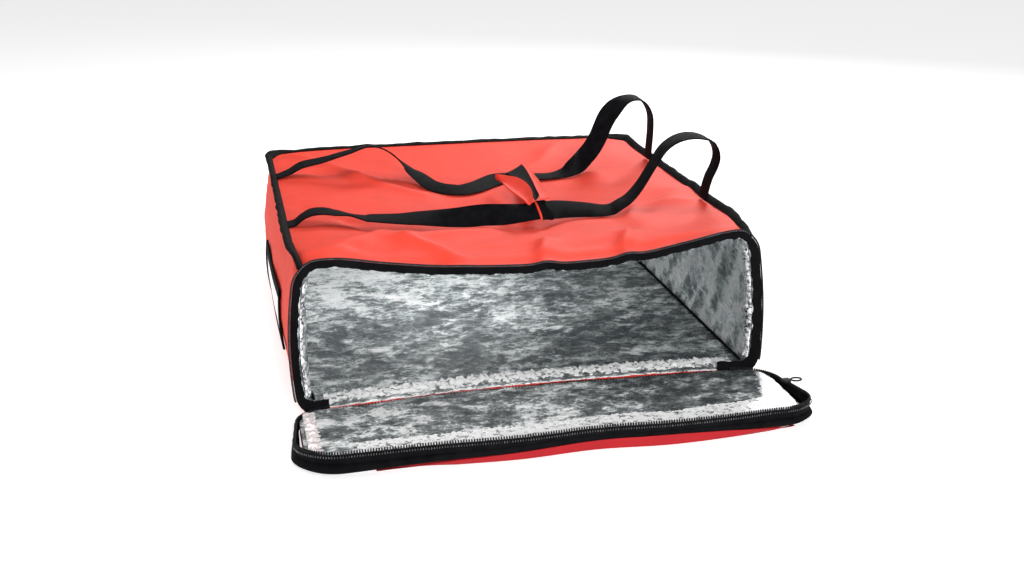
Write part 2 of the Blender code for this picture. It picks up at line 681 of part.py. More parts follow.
def build_flap():
    """Padded flap with its foil, standing wall and zip."""
    lower = flap_grid(no_height)
    upper = flap_grid(flap_height)
    add_slab("flap_panel", upper, lower, "red")
    foil_low = flap_grid(flap_height, GAP, GAP)
    foil_high = flap_grid(flap_height, GAP, GAP + FOIL)
    add_slab("flap_lining", foil_high, foil_low, "foil")
    gusset = []
    tape = []
    coil = []
    for place, outward, size in flap_wall_frames():
        foot = max(size["low"], GAP)
        outer = (
            (0.5 * size["seam_out"] + FLAP_WALL, foot),
            (size["belly_out"] + FLAP_WALL, size["belly_height"]),
            (size["seam_out"] + FLAP_WALL + GAP, size["seam_height"]),
        )
        ring = [at_section(place, outward, out, height) for out, height in outer]
        ring += [at_section(place, outward, out - FLAP_WALL, height) for out, height in reversed(outer)]
        gusset.append(ring)
        seam = size["seam_height"] + GAP
        rim = size["rim_height"]
        near = size["seam_out"] + GAP
        far = size["rim_out"]
        tape.append([
            at_section(place, outward, near + FLAP_WALL, seam),
            at_section(place, outward, far + FLAP_WALL, rim),
            at_section(place, outward, far, rim),
            at_section(place, outward, near, seam),
        ])
        middle = far + FLAP_WALL / 2
        coil.append([
            at_section(place, outward, middle - COIL / 2, rim + GAP),
            at_section(place, outward, middle + COIL / 2, rim + GAP),
            at_section(place, outward, middle + COIL / 2, rim + GAP + COIL),
            at_section(place, outward, middle - COIL / 2, rim + GAP + COIL),
        ])
    add_sweep("flap_gusset", gusset, "black")
    add_sweep("flap_zip_tape", tape, "black")
    add_sweep("flap_zip_teeth", coil, "coil")


def build_slider():
    """Zip slider on the right end of the flap's coil, with its cord loop."""
    ends = flap_wall_frames()[-ARC_STEPS - 4:-ARC_STEPS + 1]
    depths = [place.y for place, _, _ in ends]
    tops = [size["rim_height"] + 3 * GAP + COIL for _, _, size in ends]
    sides = [place.x + size["rim_out"] + FLAP_WALL / 2 for place, _, size in ends]
    rings = []
    for share, half_share, height_share in SLIDER:
        half_width = half_share * SLIDER_WIDTH
        height = height_share * SLIDER_HEIGHT
        y = depths[-2] + share * SLIDER_LENGTH / 2
        x = np.interp(y, depths, sides)
        z = np.interp(y, depths, tops)
        rings.append([
            Vector((x - half_width, y, z)),
            Vector((x + half_width, y, z)),
            Vector((x + half_width, y, z + height)),
            Vector((x - half_width, y, z + height)),
        ])
    add_sweep("zip_slider", rings, "coil")
    root = Vector((sides[-2] + SLIDER_WIDTH / 2 + PULL_CORD, depths[-2], tops[-2] + SLIDER_HEIGHT / 2))
    loop = []
    for step in range(20):
        angle = 2 * math.pi * step / 20
        reach = Vector((PULL_LENGTH / 2 * (1 - math.cos(angle)), PULL_WIDTH / 2 * math.sin(angle), 0))
        outwards = Vector((-math.cos(angle), math.sin(angle), 0))
        ring = []
        for side in range(6):
            turn = 2 * math.pi * side / 6
            ring.append(root + reach + (outwards * math.cos(turn) + Vector((0, 0, math.sin(turn)))) * PULL_CORD / 2)
        loop.append(ring)
    add_sweep("zip_pull", loop, "black", closed=True)


def strap_frames(table):
    """Middle, direction across and face direction along one handle."""
    places = []
    for x, y, lift, across_x, across_y, across_z in smooth_rows(table, HANDLE_STEPS):
        across = Vector((across_x, across_y, across_z)).normalized()
        x *= HALF_WIDTH
        y *= HALF_DEPTH
        z = top_height(x, y) + lift * BAG_HEIGHT + WEBBING / 2 * abs(across.z) + WEBBING_REST
        places.append((Vector((x, y, z)), across))
    frames = []
    for index, (place, across) in enumerate(places):
        before = places[max(index - 1, 0)][0]
        after = places[min(index + 1, len(places) - 1)][0]
        along = (after - before).normalized()
        across = (across - along * across.dot(along)).normalized()
        frames.append((place, across, along.cross(across)))
    return frames


def build_handles():
    """Both webbing handles."""
    for name, table in (("front_handle", FRONT_HANDLE), ("rear_handle", REAR_HANDLE)):
        rings = []
        for place, across, face in strap_frames(table):
            wide = across * WEBBING / 2
            thick = face * WEBBING_THICK / 2
            rings.append([place - wide - thick, place + wide - thick, place + wide + thick, place - wide + thick])
        add_sweep(name, rings, "black")


def wrap_point(row, share, out):
    """Point of the open grip, whose left part curls up."""
    y, x, rise, width, curl = row
    x *= HALF_WIDTH
    y *= HALF_DEPTH
    bend = max(-0.12 - share, 0) / 0.38
    side = share * width * BAG_HEIGHT
    lift = curl * 0.090 * BAG_HEIGHT * bend * bend
    tuck = curl * 0.035 * BAG_HEIGHT * bend * bend * bend
    return Vector((x + side + tuck - out * 1.2 * bend, y, top_height(x, y) + rise * BAG_HEIGHT + lift + out))


def wrap_grid(shares, out):
    """Grid over the open grip, offset along its own face."""
    rows = smooth_rows(WRAP, WRAP_STEPS)
    flat = [[wrap_point(row, share, 0) for share in shares] for row in rows]
    grid = []
    for index, row in enumerate(flat):
        before = flat[max(index - 1, 0)]
        after = flat[min(index + 1, len(flat) - 1)]
        line = []
        for side, point in enumerate(row):
            along = after[side] - before[side]
            across = row[min(side + 1, len(row) - 1)] - row[max(side - 1, 0)]
            normal = along.cross(across).normalized()
            line.append(point + normal * out)
        grid.append(line)
    return grid


def build_wrap():
    """Open grip over both handles with its hook strip."""
    low = wrap_grid(WRAP_SHARES, 0)
    high = wrap_grid(WRAP_SHARES, WRAP_THICK)
    add_slab("handle_wrap", high, low, "red")
    strip_low = wrap_grid(HOOK_SHARES, WRAP_THICK + 2 * GAP)
    strip_high = wrap_grid(HOOK_SHARES, WRAP_THICK + 2 * GAP + HOOK_THICK)
    rows = len(strip_low)
    add_slab("wrap_hook_strip", strip_high[1:rows - 5], strip_low[1:rows - 5], "black")


def side_point(y, z, off):
    """Point off the left side of the body at one depth and height."""
    index = (y - FRONT_Y) / (BAG_DEPTH * 3 - 4 * BACK_CORNER)
    share = z / BAG_HEIGHT
    bulge = SIDE_BULGE * smooth_value(BULGE_AT, BULGE, index * 1.05) * math.sin(math.pi * share)
    return Vector((-HALF_WIDTH - bulge - off, y, z))


def build_label():
    """Clear sleeve on the left side with tape round it."""
    loop = []
    for y, z, steps in (
        (LABEL_FRONT, LABEL_LOW, 4),
        (LABEL_BACK, LABEL_LOW, 8),
        (LABEL_BACK, LABEL_HIGH, 4),
        (LABEL_FRONT, LABEL_HIGH, 8),
    ):
        loop.append((y, z, steps))
    corners = [(y, z) for y, z, _ in loop]
    middle_y = (LABEL_FRONT + LABEL_BACK) / 2
    middle_z = (LABEL_LOW + LABEL_HIGH) / 2
    half_y = (LABEL_BACK - LABEL_FRONT) / 2
    half_z = (LABEL_HIGH - LABEL_LOW) / 2
    rings = []
    sides = corners[1:] + corners[:1]
    counts = (8, 4, 8, 4)
    for (y1, z1), (y2, z2), count in zip(corners, sides, counts):
        for step in range(count):
            y = y1 + (y2 - y1) * step / count
            z = z1 + (z2 - z1) * step / count
            inner_y = middle_y + (y - middle_y) * (half_y - LABEL_TAPE) / half_y
            inner_z = middle_z + (z - middle_z) * (half_z - LABEL_TAPE) / half_z
            rings.append([
                side_point(y, z, LABEL_OFF),
                side_point(y, z, LABEL_OFF + BINDING_THICK / 2),
                side_point(inner_y, inner_z, LABEL_OFF + BINDING_THICK / 2),
                side_point(inner_y, inner_z, LABEL_OFF),
            ])
    add_sweep("label_binding", rings, "black", closed=True)
    outer = []
    inner = []
    inset = LABEL_TAPE + 2 * GAP
    for y in np.linspace(LABEL_FRONT + inset, LABEL_BACK - inset, 9):
        heights = np.linspace(LABEL_LOW + inset, LABEL_HIGH - inset, 5)
        outer.append([side_point(y, z, LABEL_OFF + FOIL) for z in heights])
        inner.append([side_point(y, z, LABEL_OFF) for z in heights])
    add_slab("label_window", outer, inner, "clear")


def build():
    """The whole bag."""
    for old in list(bpy.data.objects):
        bpy.data.objects.remove(old, do_unlink=True)
    build_shell()
    build_top_binding()
    build_opening_tape()
    build_hinge()
    build_flap()
    build_slider()
    build_handles()
    build_wrap()
    build_label()


build()
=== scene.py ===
"""Looks of the insulated delivery bag with its front flap lying open, in metres."""
import bisect
import json
import math

import bmesh
import bpy
import numpy as np
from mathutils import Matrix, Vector, noise

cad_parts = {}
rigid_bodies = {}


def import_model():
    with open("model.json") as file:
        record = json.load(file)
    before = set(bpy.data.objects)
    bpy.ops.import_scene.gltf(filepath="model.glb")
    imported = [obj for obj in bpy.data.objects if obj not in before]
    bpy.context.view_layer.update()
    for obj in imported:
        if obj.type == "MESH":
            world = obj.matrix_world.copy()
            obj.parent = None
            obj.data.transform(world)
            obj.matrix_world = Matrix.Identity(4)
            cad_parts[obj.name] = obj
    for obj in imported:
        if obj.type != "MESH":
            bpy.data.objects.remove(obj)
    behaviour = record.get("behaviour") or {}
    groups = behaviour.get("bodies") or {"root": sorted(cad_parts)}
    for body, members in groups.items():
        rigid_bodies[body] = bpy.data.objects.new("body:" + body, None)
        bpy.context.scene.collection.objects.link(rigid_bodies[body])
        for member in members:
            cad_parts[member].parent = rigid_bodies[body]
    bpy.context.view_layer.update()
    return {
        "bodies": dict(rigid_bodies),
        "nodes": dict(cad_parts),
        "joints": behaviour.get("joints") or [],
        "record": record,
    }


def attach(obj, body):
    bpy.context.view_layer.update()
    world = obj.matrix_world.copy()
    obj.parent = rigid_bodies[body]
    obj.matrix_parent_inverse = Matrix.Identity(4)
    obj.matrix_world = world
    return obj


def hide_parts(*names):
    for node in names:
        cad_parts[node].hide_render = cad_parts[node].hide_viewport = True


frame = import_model()

# Body, as in the part's source
BAG_WIDTH = 0.508
BAG_DEPTH = 0.508
BAG_HEIGHT = 0.157
BACK_CORNER = 0.034
FRONT_CORNER = 0.022
CORNER_FADE = 0.085
SIDE_BULGE = 0.010
TOP_TUCK = 0.020
FOOT_SLIDE = 0.022
FOOT_FADE = 0.150
PADDING = 0.005
FOIL = 0.0012
GAP = 0.0003
MITRE = 0.293
BINDING_WIDTH = 0.0075
BINDING_THICK = 0.0030
BINDING_LEAN = 45
BINDING_BACK_LEAN = 12
TAPE_INSET = 0.0078
TAPE_FOOT = 0.0145
TAPE_FLARE = 0.0018
TAPE_THICK = 0.0014
TAPE_LEFT_RUN = 0.031
TAPE_RIGHT_RUN = 0.044
TAPE_EASE = 0.004
TAPE_TURN = 0.006
COIL = 0.0022
HINGE_WIDTH = 0.0085
HINGE_FOOT = 0.0010
HINGE_THICK = 0.0042
HINGE_WAVE = 0.0012
FLAP_OVERHANG = 0.003
FLAP_REACH = 0.140
FLAP_CORNER = 0.034
FLAP_REAR_CORNER = 0.038
FLAP_PADDING = 0.0085
FLAP_PUCKER = 0.0011
FLAP_HEM = 0.020
FLAP_SEWN = 0.0045
FLAP_WALL = 0.0012
FLAP_WALL_HEIGHT = 0.026
FLAP_WALL_LEAN = 0.013
WEBBING = 0.025
WEBBING_THICK = 0.0018
WEBBING_REST = 0.0015
WRAP_THICK = 0.0014
LABEL_SETBACK = 0.099
LABEL_LENGTH = 0.200
LABEL_FOOT = 0.030
LABEL_HEIGHT = 0.068
LABEL_TAPE = 0.010
LABEL_EDGE = 0.003

# Finer forms that only the looks have
WALL_SLACK = 0.011
SOFT_HOLLOW = 0.0018
SOFT_REST = 0.0014
LIP_HOLLOW = 0.0030
LIP_RIDGE = 0.0012
SEAM_DIMPLE = 0.0007
STRIP_THICK = 0.0004
HINGE_FOIL_REACH = 0.026
HINGE_FOIL_RISE = 0.0022
SIDE_FOIL_REACH = 0.012
STITCH_SETBACK = 0.0075
SEAM_RADIUS = 0.0016
SEAM_WAVE = 0.0006
TAPE_TRIM = 0.0012
FLAP_RIM = 0.0028

# Camera in millimetres and metres, and how far the floor reaches
LENS = 47.6
SENSOR = 36
CAMERA_PLACE = (-0.31846434, -1.5838099, 0.57742554)
FLOOR_REACH = 12

# Fineness of the pieces made here
SHARP_FROM = 55
OPENING_STEPS = 420
ARC_STEPS = 14
QUARTER = [math.radians(90 * step / ARC_STEPS) for step in range(ARC_STEPS + 1)]
TOOTH_PITCH = 0.0026
TOOTH_HEIGHT = 0.0032
STITCH_PITCH = 0.0034

HALF_WIDTH = BAG_WIDTH / 2
HALF_DEPTH = BAG_DEPTH / 2
FRONT_Y = -HALF_DEPTH
TAPE_LEFT_END = -HALF_WIDTH + TAPE_LEFT_RUN
TAPE_RIGHT_END = HALF_WIDTH - TAPE_RIGHT_RUN
HINGE_Y = FRONT_Y - GAP - HINGE_WIDTH
HALF_FLAP = HALF_WIDTH + FLAP_OVERHANG
FLAP_START = HINGE_Y - GAP
FLAP_FRONT = FLAP_START - FLAP_REACH
LABEL_FRONT = FRONT_Y + LABEL_SETBACK
LABEL_BACK = LABEL_FRONT + LABEL_LENGTH
LABEL_LOW = LABEL_FOOT
LABEL_HIGH = LABEL_LOW + LABEL_HEIGHT
ACROSS = Vector((1, 0, 0))
FORWARD = Vector((0, -1, 0))
UP = Vector((0, 0, 1))

# Grids of the pieces made here, as shares of the size they follow
BACK_SHARE = 1 - BACK_CORNER / HALF_DEPTH
DEPTH_SHARES = tuple(np.linspace(-1, BACK_SHARE, 116)[:-1])
WIDTH_SHARES = tuple(np.linspace(-1, 1, 131))
WALL_SHARES = tuple(np.linspace(0, 1, 37))
FLAP_ROWS = tuple(np.linspace(0, 1, 27)[:-1])
FLAP_COLUMNS = tuple(np.linspace(-1, 1, 161))

# Height of the top above the seam height, in hundredths of the bag's height
SAG_X = (-1, -0.85, -0.64, -0.42, -0.14, 0.12, 0.44, 0.7, 0.89, 1)
SAG = {
    -1.0: (0, 1.5, -3.5, -8, -11, -12, -9.5, -2.5, 3, 3.5),
    -0.84: (1, 3, -0.5, -3, -6.5, -6.5, -4.5, -0.5, 1.5, 2),
    -0.45: (0, 0.5, -3, -6, -9.5, -9.5, -7.5, -4.5, -0.5, 0),
    0.0: (0, 0, -2.5, -5, -7.5, -7.5, -6, -2.5, 0, 0),
    0.45: (0, 1, 0, -3, -5.5, -6, -5, -2, 0.5, 0),
    1.0: (-0.5, 1, 2, 2, 2, 2, 1.8, 1.3, 0.5, -1),
}

SAG_Y = tuple(SAG)

# Soft ridges on the top: ends as shares of half the width and depth, height and
# width as shares of the bag's height
TOP_FOLDS = (
    # x1, y1, x2, y2, height, width
    (-0.93, -0.90, -0.60, -0.66, 0.020, 0.11),
    (-0.55, -0.72, -0.10, -0.52, 0.026, 0.11),
    (-0.52, -0.74, -0.30, -0.92, 0.022, 0.09),
    (0.12, -0.80, 0.06, -0.97, 0.028, 0.08),
    (0.49, -0.80, 0.42, -0.98, 0.024, 0.08),
    (0.60, -0.62, 0.97, -0.20, 0.020, 0.12),
    (-0.95, 0.42, -0.55, 0.38, 0.024, 0.12),
    (0.55, 0.45, 0.96, 0.86, 0.020, 0.14),
)

# Sideways bulge at half height along the wall, as shares of SIDE_BULGE
BULGE_AT = (0, 0.12, 0.28, 0.38, 0.5, 0.62, 0.72, 0.88, 1)
BULGE = (0.6, 1.35, 1.1, 0.4, 0.65, 0.4, 0.7, 0.8, 0.5)

# How far the foot of the opening and the front edge of the flap stand forward, as
# shares of FOOT_SLIDE, by share of half the width
PUSH_AT = (-1, -0.85, -0.5, -0.2, 0.1, 0.4, 0.7, 0.85, 1)
FOOT_PUSH = (1.0, 0.77, 0.32, 0.05, 0, 0.05, 0.2, 0.36, 0.55)
FLAP_PUSH = (0.59, 0.64, 0.68, 0.82, 0.59, 0.82, 0.59, 0.36, 0.27)

# Wall of the flap by share of its length from the left end of the hinge: heights as shares
# of FLAP_WALL_HEIGHT, then distances out as shares of FLAP_WALL_LEAN
FLAP_WALL_AT = (0, 0.06, 0.13, 0.20, 0.28, 0.40, 0.50, 0.60, 0.70, 0.80, 0.87, 0.94, 1)
FLAP_RISE = {
    "low": (0.046, 0.035, 0.027, 0.023, 0.115, 0.25, 0.308, 0.327, 0.269, 0.077, 0.031, 0.035, 0.046),
    "belly": (0.096, 0.135, 0.192, 0.231, 0.288, 0.385, 0.442, 0.462, 0.404, 0.269, 0.192, 0.135, 0.096),
    "seam": (0.154, 0.212, 0.327, 0.462, 0.5, 0.558, 0.615, 0.615, 0.558, 0.462, 0.327, 0.212, 0.154),
    "rim": (0.269, 0.385, 0.615, 0.865, 0.942, 0.981, 1, 1, 0.962, 0.865, 0.615, 0.385, 0.269),
}
FLAP_LEAN = {
    "belly_out": (0.115, 0.308, 0.769, 1.077, 0.923, 0.692, 0.538, 0.462, 0.615, 0.846, 0.692, 0.385, 0.115),
    "seam_out": (0.077, 0.115, 0.385, 0.615, 0.615, 0.615, 0.538, 0.538, 0.538, 0.538, 0.385, 0.154, 0.077),
    "rim_out": (0.115, 0.192, 0.538, 0.846, 0.923, 1, 1, 0.923, 0.846, 0.692, 0.538, 0.231, 0.115),
}

# Handles: x and y as shares of half the width and depth, lift of the lower edge
# above the top as a share of the bag's height, then the direction across the webbing
FRONT_HANDLE = (
    # x, y, lift, across x, across y, across z
    (-1.006, -0.413, -0.004, 0, 1, 0),
    (-0.982, -0.413, 0.000, 0, 1, 0),
    (-0.955, -0.413, 0.012, 0, 1, 0),
    (-0.930, -0.413, 0.042, 0, 1, 0),
    (-0.890, -0.413, 0.068, 0, 1, 0.05),
    (-0.845, -0.417, 0.078, 0, 1, 0.05),
    (-0.800, -0.421, 0.076, 0, 1, 0.03),
    (-0.757, -0.425, 0.068, 0, 1, -0.06),
    (-0.712, -0.429, 0.054, 0, 1, -0.16),
    (-0.668, -0.433, 0.050, 0, 1, -0.08),
    (-0.623, -0.437, 0.050, 0, 1, 0.05),
    (-0.578, -0.441, 0.046, 0, 1, 0.12),
    (-0.488, -0.445, 0.040, 0, 0.97, 0.22),
    (-0.398, -0.453, 0.038, 0, 0.92, 0.38),
    (-0.306, -0.457, 0.031, 0, 0.83, 0.56),
    (-0.214, -0.461, 0.024, 0, 0.66, 0.75),
    (-0.120, -0.461, 0.014, 0, 0.35, 0.93),
    (-0.025, -0.456, 0.022, 0, 0.45, 0.87),
    (0.072, -0.450, 0.042, 0, 0.75, 0.65),
    (0.168, -0.443, 0.055, 0, 0.8, 0.55),
    (0.230, -0.420, 0.038, 0, 0.8, 0.6),
    (0.290, -0.388, 0.020, 0, 0.8, 0.6),
    (0.383, -0.370, 0.003, 0, 0.87, 0.5),
    (0.474, -0.390, 0.003, 0, 0.95, 0.3),
    (0.522, -0.405, 0.018, 0, 0.97, 0.2),
    (0.560, -0.425, 0.056, 0, 0.97, 0.2),
    (0.607, -0.425, 0.104, 0, 1, 0.15),
    (0.660, -0.415, 0.186, 0, 1, 0.1),
    (0.708, -0.413, 0.291, 0, 1, 0.1),
    (0.759, -0.413, 0.401, 0, 1, 0.1),
    (0.802, -0.413, 0.452, 0, 1, 0.1),
    (0.850, -0.413, 0.481, 0, 1, 0.12),
    (0.900, -0.413, 0.493, 0, 1, 0.12),
    (0.950, -0.413, 0.488, 0, 1, 0.08),
    (0.996, -0.413, 0.466, 0, 1, 0),
    (1.025, -0.413, 0.414, 0, 1, 0),
    (1.037, -0.413, 0.340, 0, 1, 0),
    (1.027, -0.413, 0.263, 0, 1, 0),
    (1.003, -0.413, 0.180, 0, 1, 0),
    (0.988, -0.413, 0.095, 0, 1, 0),
    (0.983, -0.413, 0.045, 0, 1, 0),
    (0.981, -0.413, 0.006, 0, 1, 0),
)
REAR_HANDLE = (
    # x, y, lift, across x, across y, across z
    (-1.008, 0.433, -0.004, 0, 1, 0),
    (-0.985, 0.433, 0.000, 0, 1, 0),
    (-0.968, 0.433, 0.004, 0, 1, 0),
    (-0.925, 0.433, 0.020, 0, 1, 0.05),
    (-0.873, 0.433, 0.058, 0, 1, 0.1),
    (-0.822, 0.433, 0.079, 0, 1, 0.08),
    (-0.771, 0.433, 0.098, 0, 1, 0.05),
    (-0.719, 0.433, 0.125, 0, 1, 0),
    (-0.668, 0.433, 0.150, 0, 1, -0.03),
    (-0.616, 0.433, 0.175, 0, 1, -0.06),
    (-0.564, 0.433, 0.204, 0, 1, -0.12),
    (-0.513, 0.433, 0.224, 0, 1, -0.16),
    (-0.462, 0.433, 0.222, 0, 1, -0.16),
    (-0.411, 0.433, 0.187, 0, 1, -0.15),
    (-0.361, 0.425, 0.130, 0, 1, -0.08),
    (-0.315, 0.390, 0.082, 0.2, 0.95, 0),
    (-0.275, 0.315, 0.045, 0.4, 0.9, 0.1),
    (-0.238, 0.240, 0.014, 0.55, 0.8, 0.15),
    (-0.196, 0.185, 0.003, 0.6, 0.75, 0.2),
    (-0.150, 0.145, 0.003, 0.4, 0.9, 0.25),
    (-0.100, 0.130, 0.003, 0.1, 1, 0.25),
    (-0.045, 0.150, 0.003, -0.2, 0.95, 0.25),
    (0.012, 0.193, 0.003, -0.35, 0.9, 0.25),
    (0.076, 0.250, 0.003, -0.35, 0.9, 0.3),
    (0.139, 0.295, 0.003, -0.2, 0.95, 0.3),
    (0.240, 0.312, 0.003, 0, 1, 0.2),
    (0.356, 0.316, 0.003, 0, 1, 0.08),
    (0.410, 0.314, 0.003, 0, 1, 0.05),
    (0.461, 0.310, 0.004, 0, 1, 0.15),
    (0.515, 0.310, 0.006, -0.1, 0.9, 0.4),
    (0.570, 0.345, 0.012, -0.35, 0.65, 0.65),
    (0.625, 0.400, 0.040, -0.55, 0.4, 0.7),
    (0.668, 0.425, 0.100, -0.7, 0.25, 0.65),
    (0.700, 0.433, 0.185, -0.8, 0.15, 0.55),
    (0.722, 0.433, 0.275, -0.85, 0.1, 0.45),
    (0.748, 0.433, 0.365, -0.8, 0.3, 0.35),
    (0.791, 0.433, 0.445, -0.6, 0.65, 0.3),
    (0.845, 0.433, 0.506, -0.2, 0.95, 0.2),
    (0.900, 0.433, 0.523, 0, 1, 0.1),
    (0.939, 0.433, 0.504, 0, 1, 0.03),
    (0.968, 0.433, 0.453, 0, 1, 0),
    (0.987, 0.433, 0.376, 0, 1, 0),
    (0.990, 0.433, 0.265, 0, 1, 0),
    (0.987, 0.433, 0.161, 0, 1, 0),
    (0.984, 0.433, 0.085, 0, 1, 0),
    (0.982, 0.433, 0.006, 0, 1, 0),
)
HANDLE_STEPS = 420


def clamp(value):
    """A value kept between 0 and 1."""
    return min(max(value, 0), 1)


def lerp(one, other, share):
    """Value between two others."""
    return one + (other - one) * share


def waver(x, y=0.0, z=0.0):
    """Smooth noise from -1 to 1 at one place."""
    return noise.noise(Vector((x, y, z)))


def rough(point, scale, seed=0.0):
    """Smooth noise from -1 to 1 at one place, with features of about the given size."""
    return waver(point[0] / scale + seed, point[1] / scale, point[2] / scale)


def run_lengths(points):
    """Distance of each point of a line from its start."""
    lengths = [0.0]
    for here, there in zip(points, points[1:]):
        lengths.append(lengths[-1] + (there - here).length)
    return lengths


def circle(centre, one, other, radius, sides):
    """Ring of points round a centre in the plane of two directions."""
    angles = [2 * math.pi * turn / sides for turn in range(sides)]
    return [centre + (one * math.cos(angle) + other * math.sin(angle)) * radius for angle in angles]


def slouch(point):
    """The whole bag slouches: its top draws in and its foot slides forward at the opening."""
    raised = clamp(point.z / BAG_HEIGHT)
    x = point.x * (1 - TOP_TUCK * raised)
    side = point.x / HALF_WIDTH
    beyond = clamp((HINGE_Y - point.y) / FLAP_REACH)
    foot = smooth_value(PUSH_AT, FOOT_PUSH, side) * (1 - beyond)
    push = (foot + smooth_value(PUSH_AT, FLAP_PUSH, side) * beyond) * FOOT_SLIDE
    ahead = clamp(1 - (point.y - FRONT_Y) / FOOT_FADE)
    y = point.y - push * (1 - raised) * ahead * ahead * (3 - 2 * ahead)
    return (x, y, point.z)


def slope_at(knots, values, index):
    """Slope of a smooth curve at one of its values."""
    last = len(knots) - 1
    if index in (0, last):
        near = min(index, last - 1)
        return (values[near + 1] - values[near]) / (knots[near + 1] - knots[near])
    ahead = knots[index + 1] - knots[index]
    behind = knots[index] - knots[index - 1]
    rise = behind ** 2 * values[index + 1] + (ahead ** 2 - behind ** 2) * values[index]
    rise -= ahead ** 2 * values[index - 1]
    return rise / (ahead * behind * (ahead + behind))


def smooth_value(knots, values, at):
    """Value at one place of a smooth curve through the given values."""
    index = min(max(bisect.bisect_left(knots, at) - 1, 0), len(knots) - 2)
    span = knots[index + 1] - knots[index]
    t = clamp((at - knots[index]) / span)
    leave = span * slope_at(knots, values, index)
    arrive = span * slope_at(knots, values, index + 1)
    start = (1 + 2 * t) * (1 - t) ** 2 * values[index] + t * (1 - t) ** 2 * leave
    end = t * t * (3 - 2 * t) * values[index + 1] - t * t * (1 - t) * arrive
    return start + end


def smooth_rows(table, steps):
    """A table resampled along a smooth curve through its rows."""
    columns = list(zip(*table))
    knots = list(range(len(table)))
    places = np.linspace(0, len(table) - 1, steps + 1)
    return [[smooth_value(knots, column, at) for column in columns] for at in places]


def from_line(x, y, ends):
    """Distance of a place on the top from a line, and the share of the line that it lies beside."""
    x1, y1, x2, y2 = ends
    here = Vector((x, y))
    start = Vector((x1 * HALF_WIDTH, y1 * HALF_DEPTH))
    run = Vector((x2 * HALF_WIDTH, y2 * HALF_DEPTH)) - start
    share = clamp((here - start).dot(run) / run.length_squared)
    return (here - start - run * share).length, share


def fold_height(x, y):
    """Height of the soft ridges at one place of the top."""
    total = 0.0
    for *ends, height, width in TOP_FOLDS:
        distance, _ = from_line(x, y, ends)
        total += height * BAG_HEIGHT * math.exp(-((distance / (width * BAG_HEIGHT)) ** 2))
    return total


def top_height(x, y):
    """Height of the outer face of the top, before its rounded edges."""
    across = x / HALF_WIDTH
    along = min(max(y / HALF_DEPTH, -1), 1)
    rows = [smooth_value(SAG_X, row, across) for row in SAG.values()]
    sag = smooth_value(SAG_Y, rows, along)
    return BAG_HEIGHT * (1 + sag / 100) + fold_height(x, y)


def edge_radius(y, inset):
    """Radius of the long edges, which grows towards the opening."""
    share = clamp(1 - (y - FRONT_Y) / CORNER_FADE)
    radius = FRONT_CORNER * share * share * (3 - 2 * share)
    return max(radius - inset, 0)


def edge_drop(from_edge, radius):
    """How far a rounded edge falls away at one distance from the side."""
    if from_edge >= radius:
        return 0.0
    return radius - math.sqrt(radius ** 2 - (radius - from_edge) ** 2)


def corner_rows(centre, radius, angles):
    """Places and outward directions round a left corner, at angles from straight left."""
    rows = []
    for angle in angles:
        outward = Vector((-math.cos(angle), math.sin(angle), 0))
        rows.append((centre + outward * radius, outward))
    return rows


def mirrored(left, middle):
    """A whole outline: its left part, its middle, and the left part mirrored."""
    right = [(Vector((-place.x, place.y, 0)), Vector((-out.x, out.y, 0))) for place, out in reversed(left)]
    return left + middle + right


def outline_rows():
    """Left outline of the body: place and outward direction of each depth row."""
    rows = [(Vector((-HALF_WIDTH, share * HALF_DEPTH, 0)), Vector((-1, 0, 0))) for share in DEPTH_SHARES]
    centre = Vector((-HALF_WIDTH + BACK_CORNER, HALF_DEPTH - BACK_CORNER, 0))
    return rows + corner_rows(centre, BACK_CORNER, QUARTER)


def stations():
    """The whole outline from the front left round the back to the front right."""
    left = outline_rows()
    reach = -left[-1][0].x
    back = [(Vector((share * reach, HALF_DEPTH, 0)), Vector((0, 1, 0))) for share in WIDTH_SHARES[1:-1]]
    return mirrored(left, back)


def panel_grid(shares, inset, height_at, upward):
    """Grid over the body at one inset, with its long edges rounded."""
    grid = []
    for place, outward in outline_rows():
        radius = edge_radius(place.y, inset)
        edge = place - outward * (inset + MITRE * radius + GAP)
        half = HALF_WIDTH - inset
        row = []
        for share in shares:
            x = -edge.x * share
            drop = edge_drop(half - abs(x), radius)
            z = height_at(x, edge.y) - upward * (inset + drop)
            row.append(Vector((x, edge.y, z)))
        grid.append(row)
    return grid


def wall_bulge(index, count, share):
    """Sideways bulge of the wall at one station and height share."""
    return SIDE_BULGE * smooth_value(BULGE_AT, BULGE, index / (count - 1)) * math.sin(math.pi * share)


def wall_grid(inset):
    """Grid of the wall band at one inset: one row a station, from base to top."""
    around = stations()
    grid = []
    for index, (place, outward) in enumerate(around):
        radius = edge_radius(place.y, inset)
        edge = place - outward * (inset + MITRE * radius)
        low = inset + MITRE * radius + GAP
        high = top_height(edge.x, edge.y) - low
        row = []
        for share in WALL_SHARES:
            z = low + (high - low) * share
            ends = min(z - low, high - z) + (low - inset - GAP)
            drop = edge_drop(max(ends, 0), radius)
            out = wall_bulge(index, len(around), share) - inset - drop
            row.append(Vector((place.x + outward.x * out, place.y + outward.y * out, z)))
        grid.append(row)
    return grid


def no_height(x, y):
    """Height of the base."""
    return 0.0


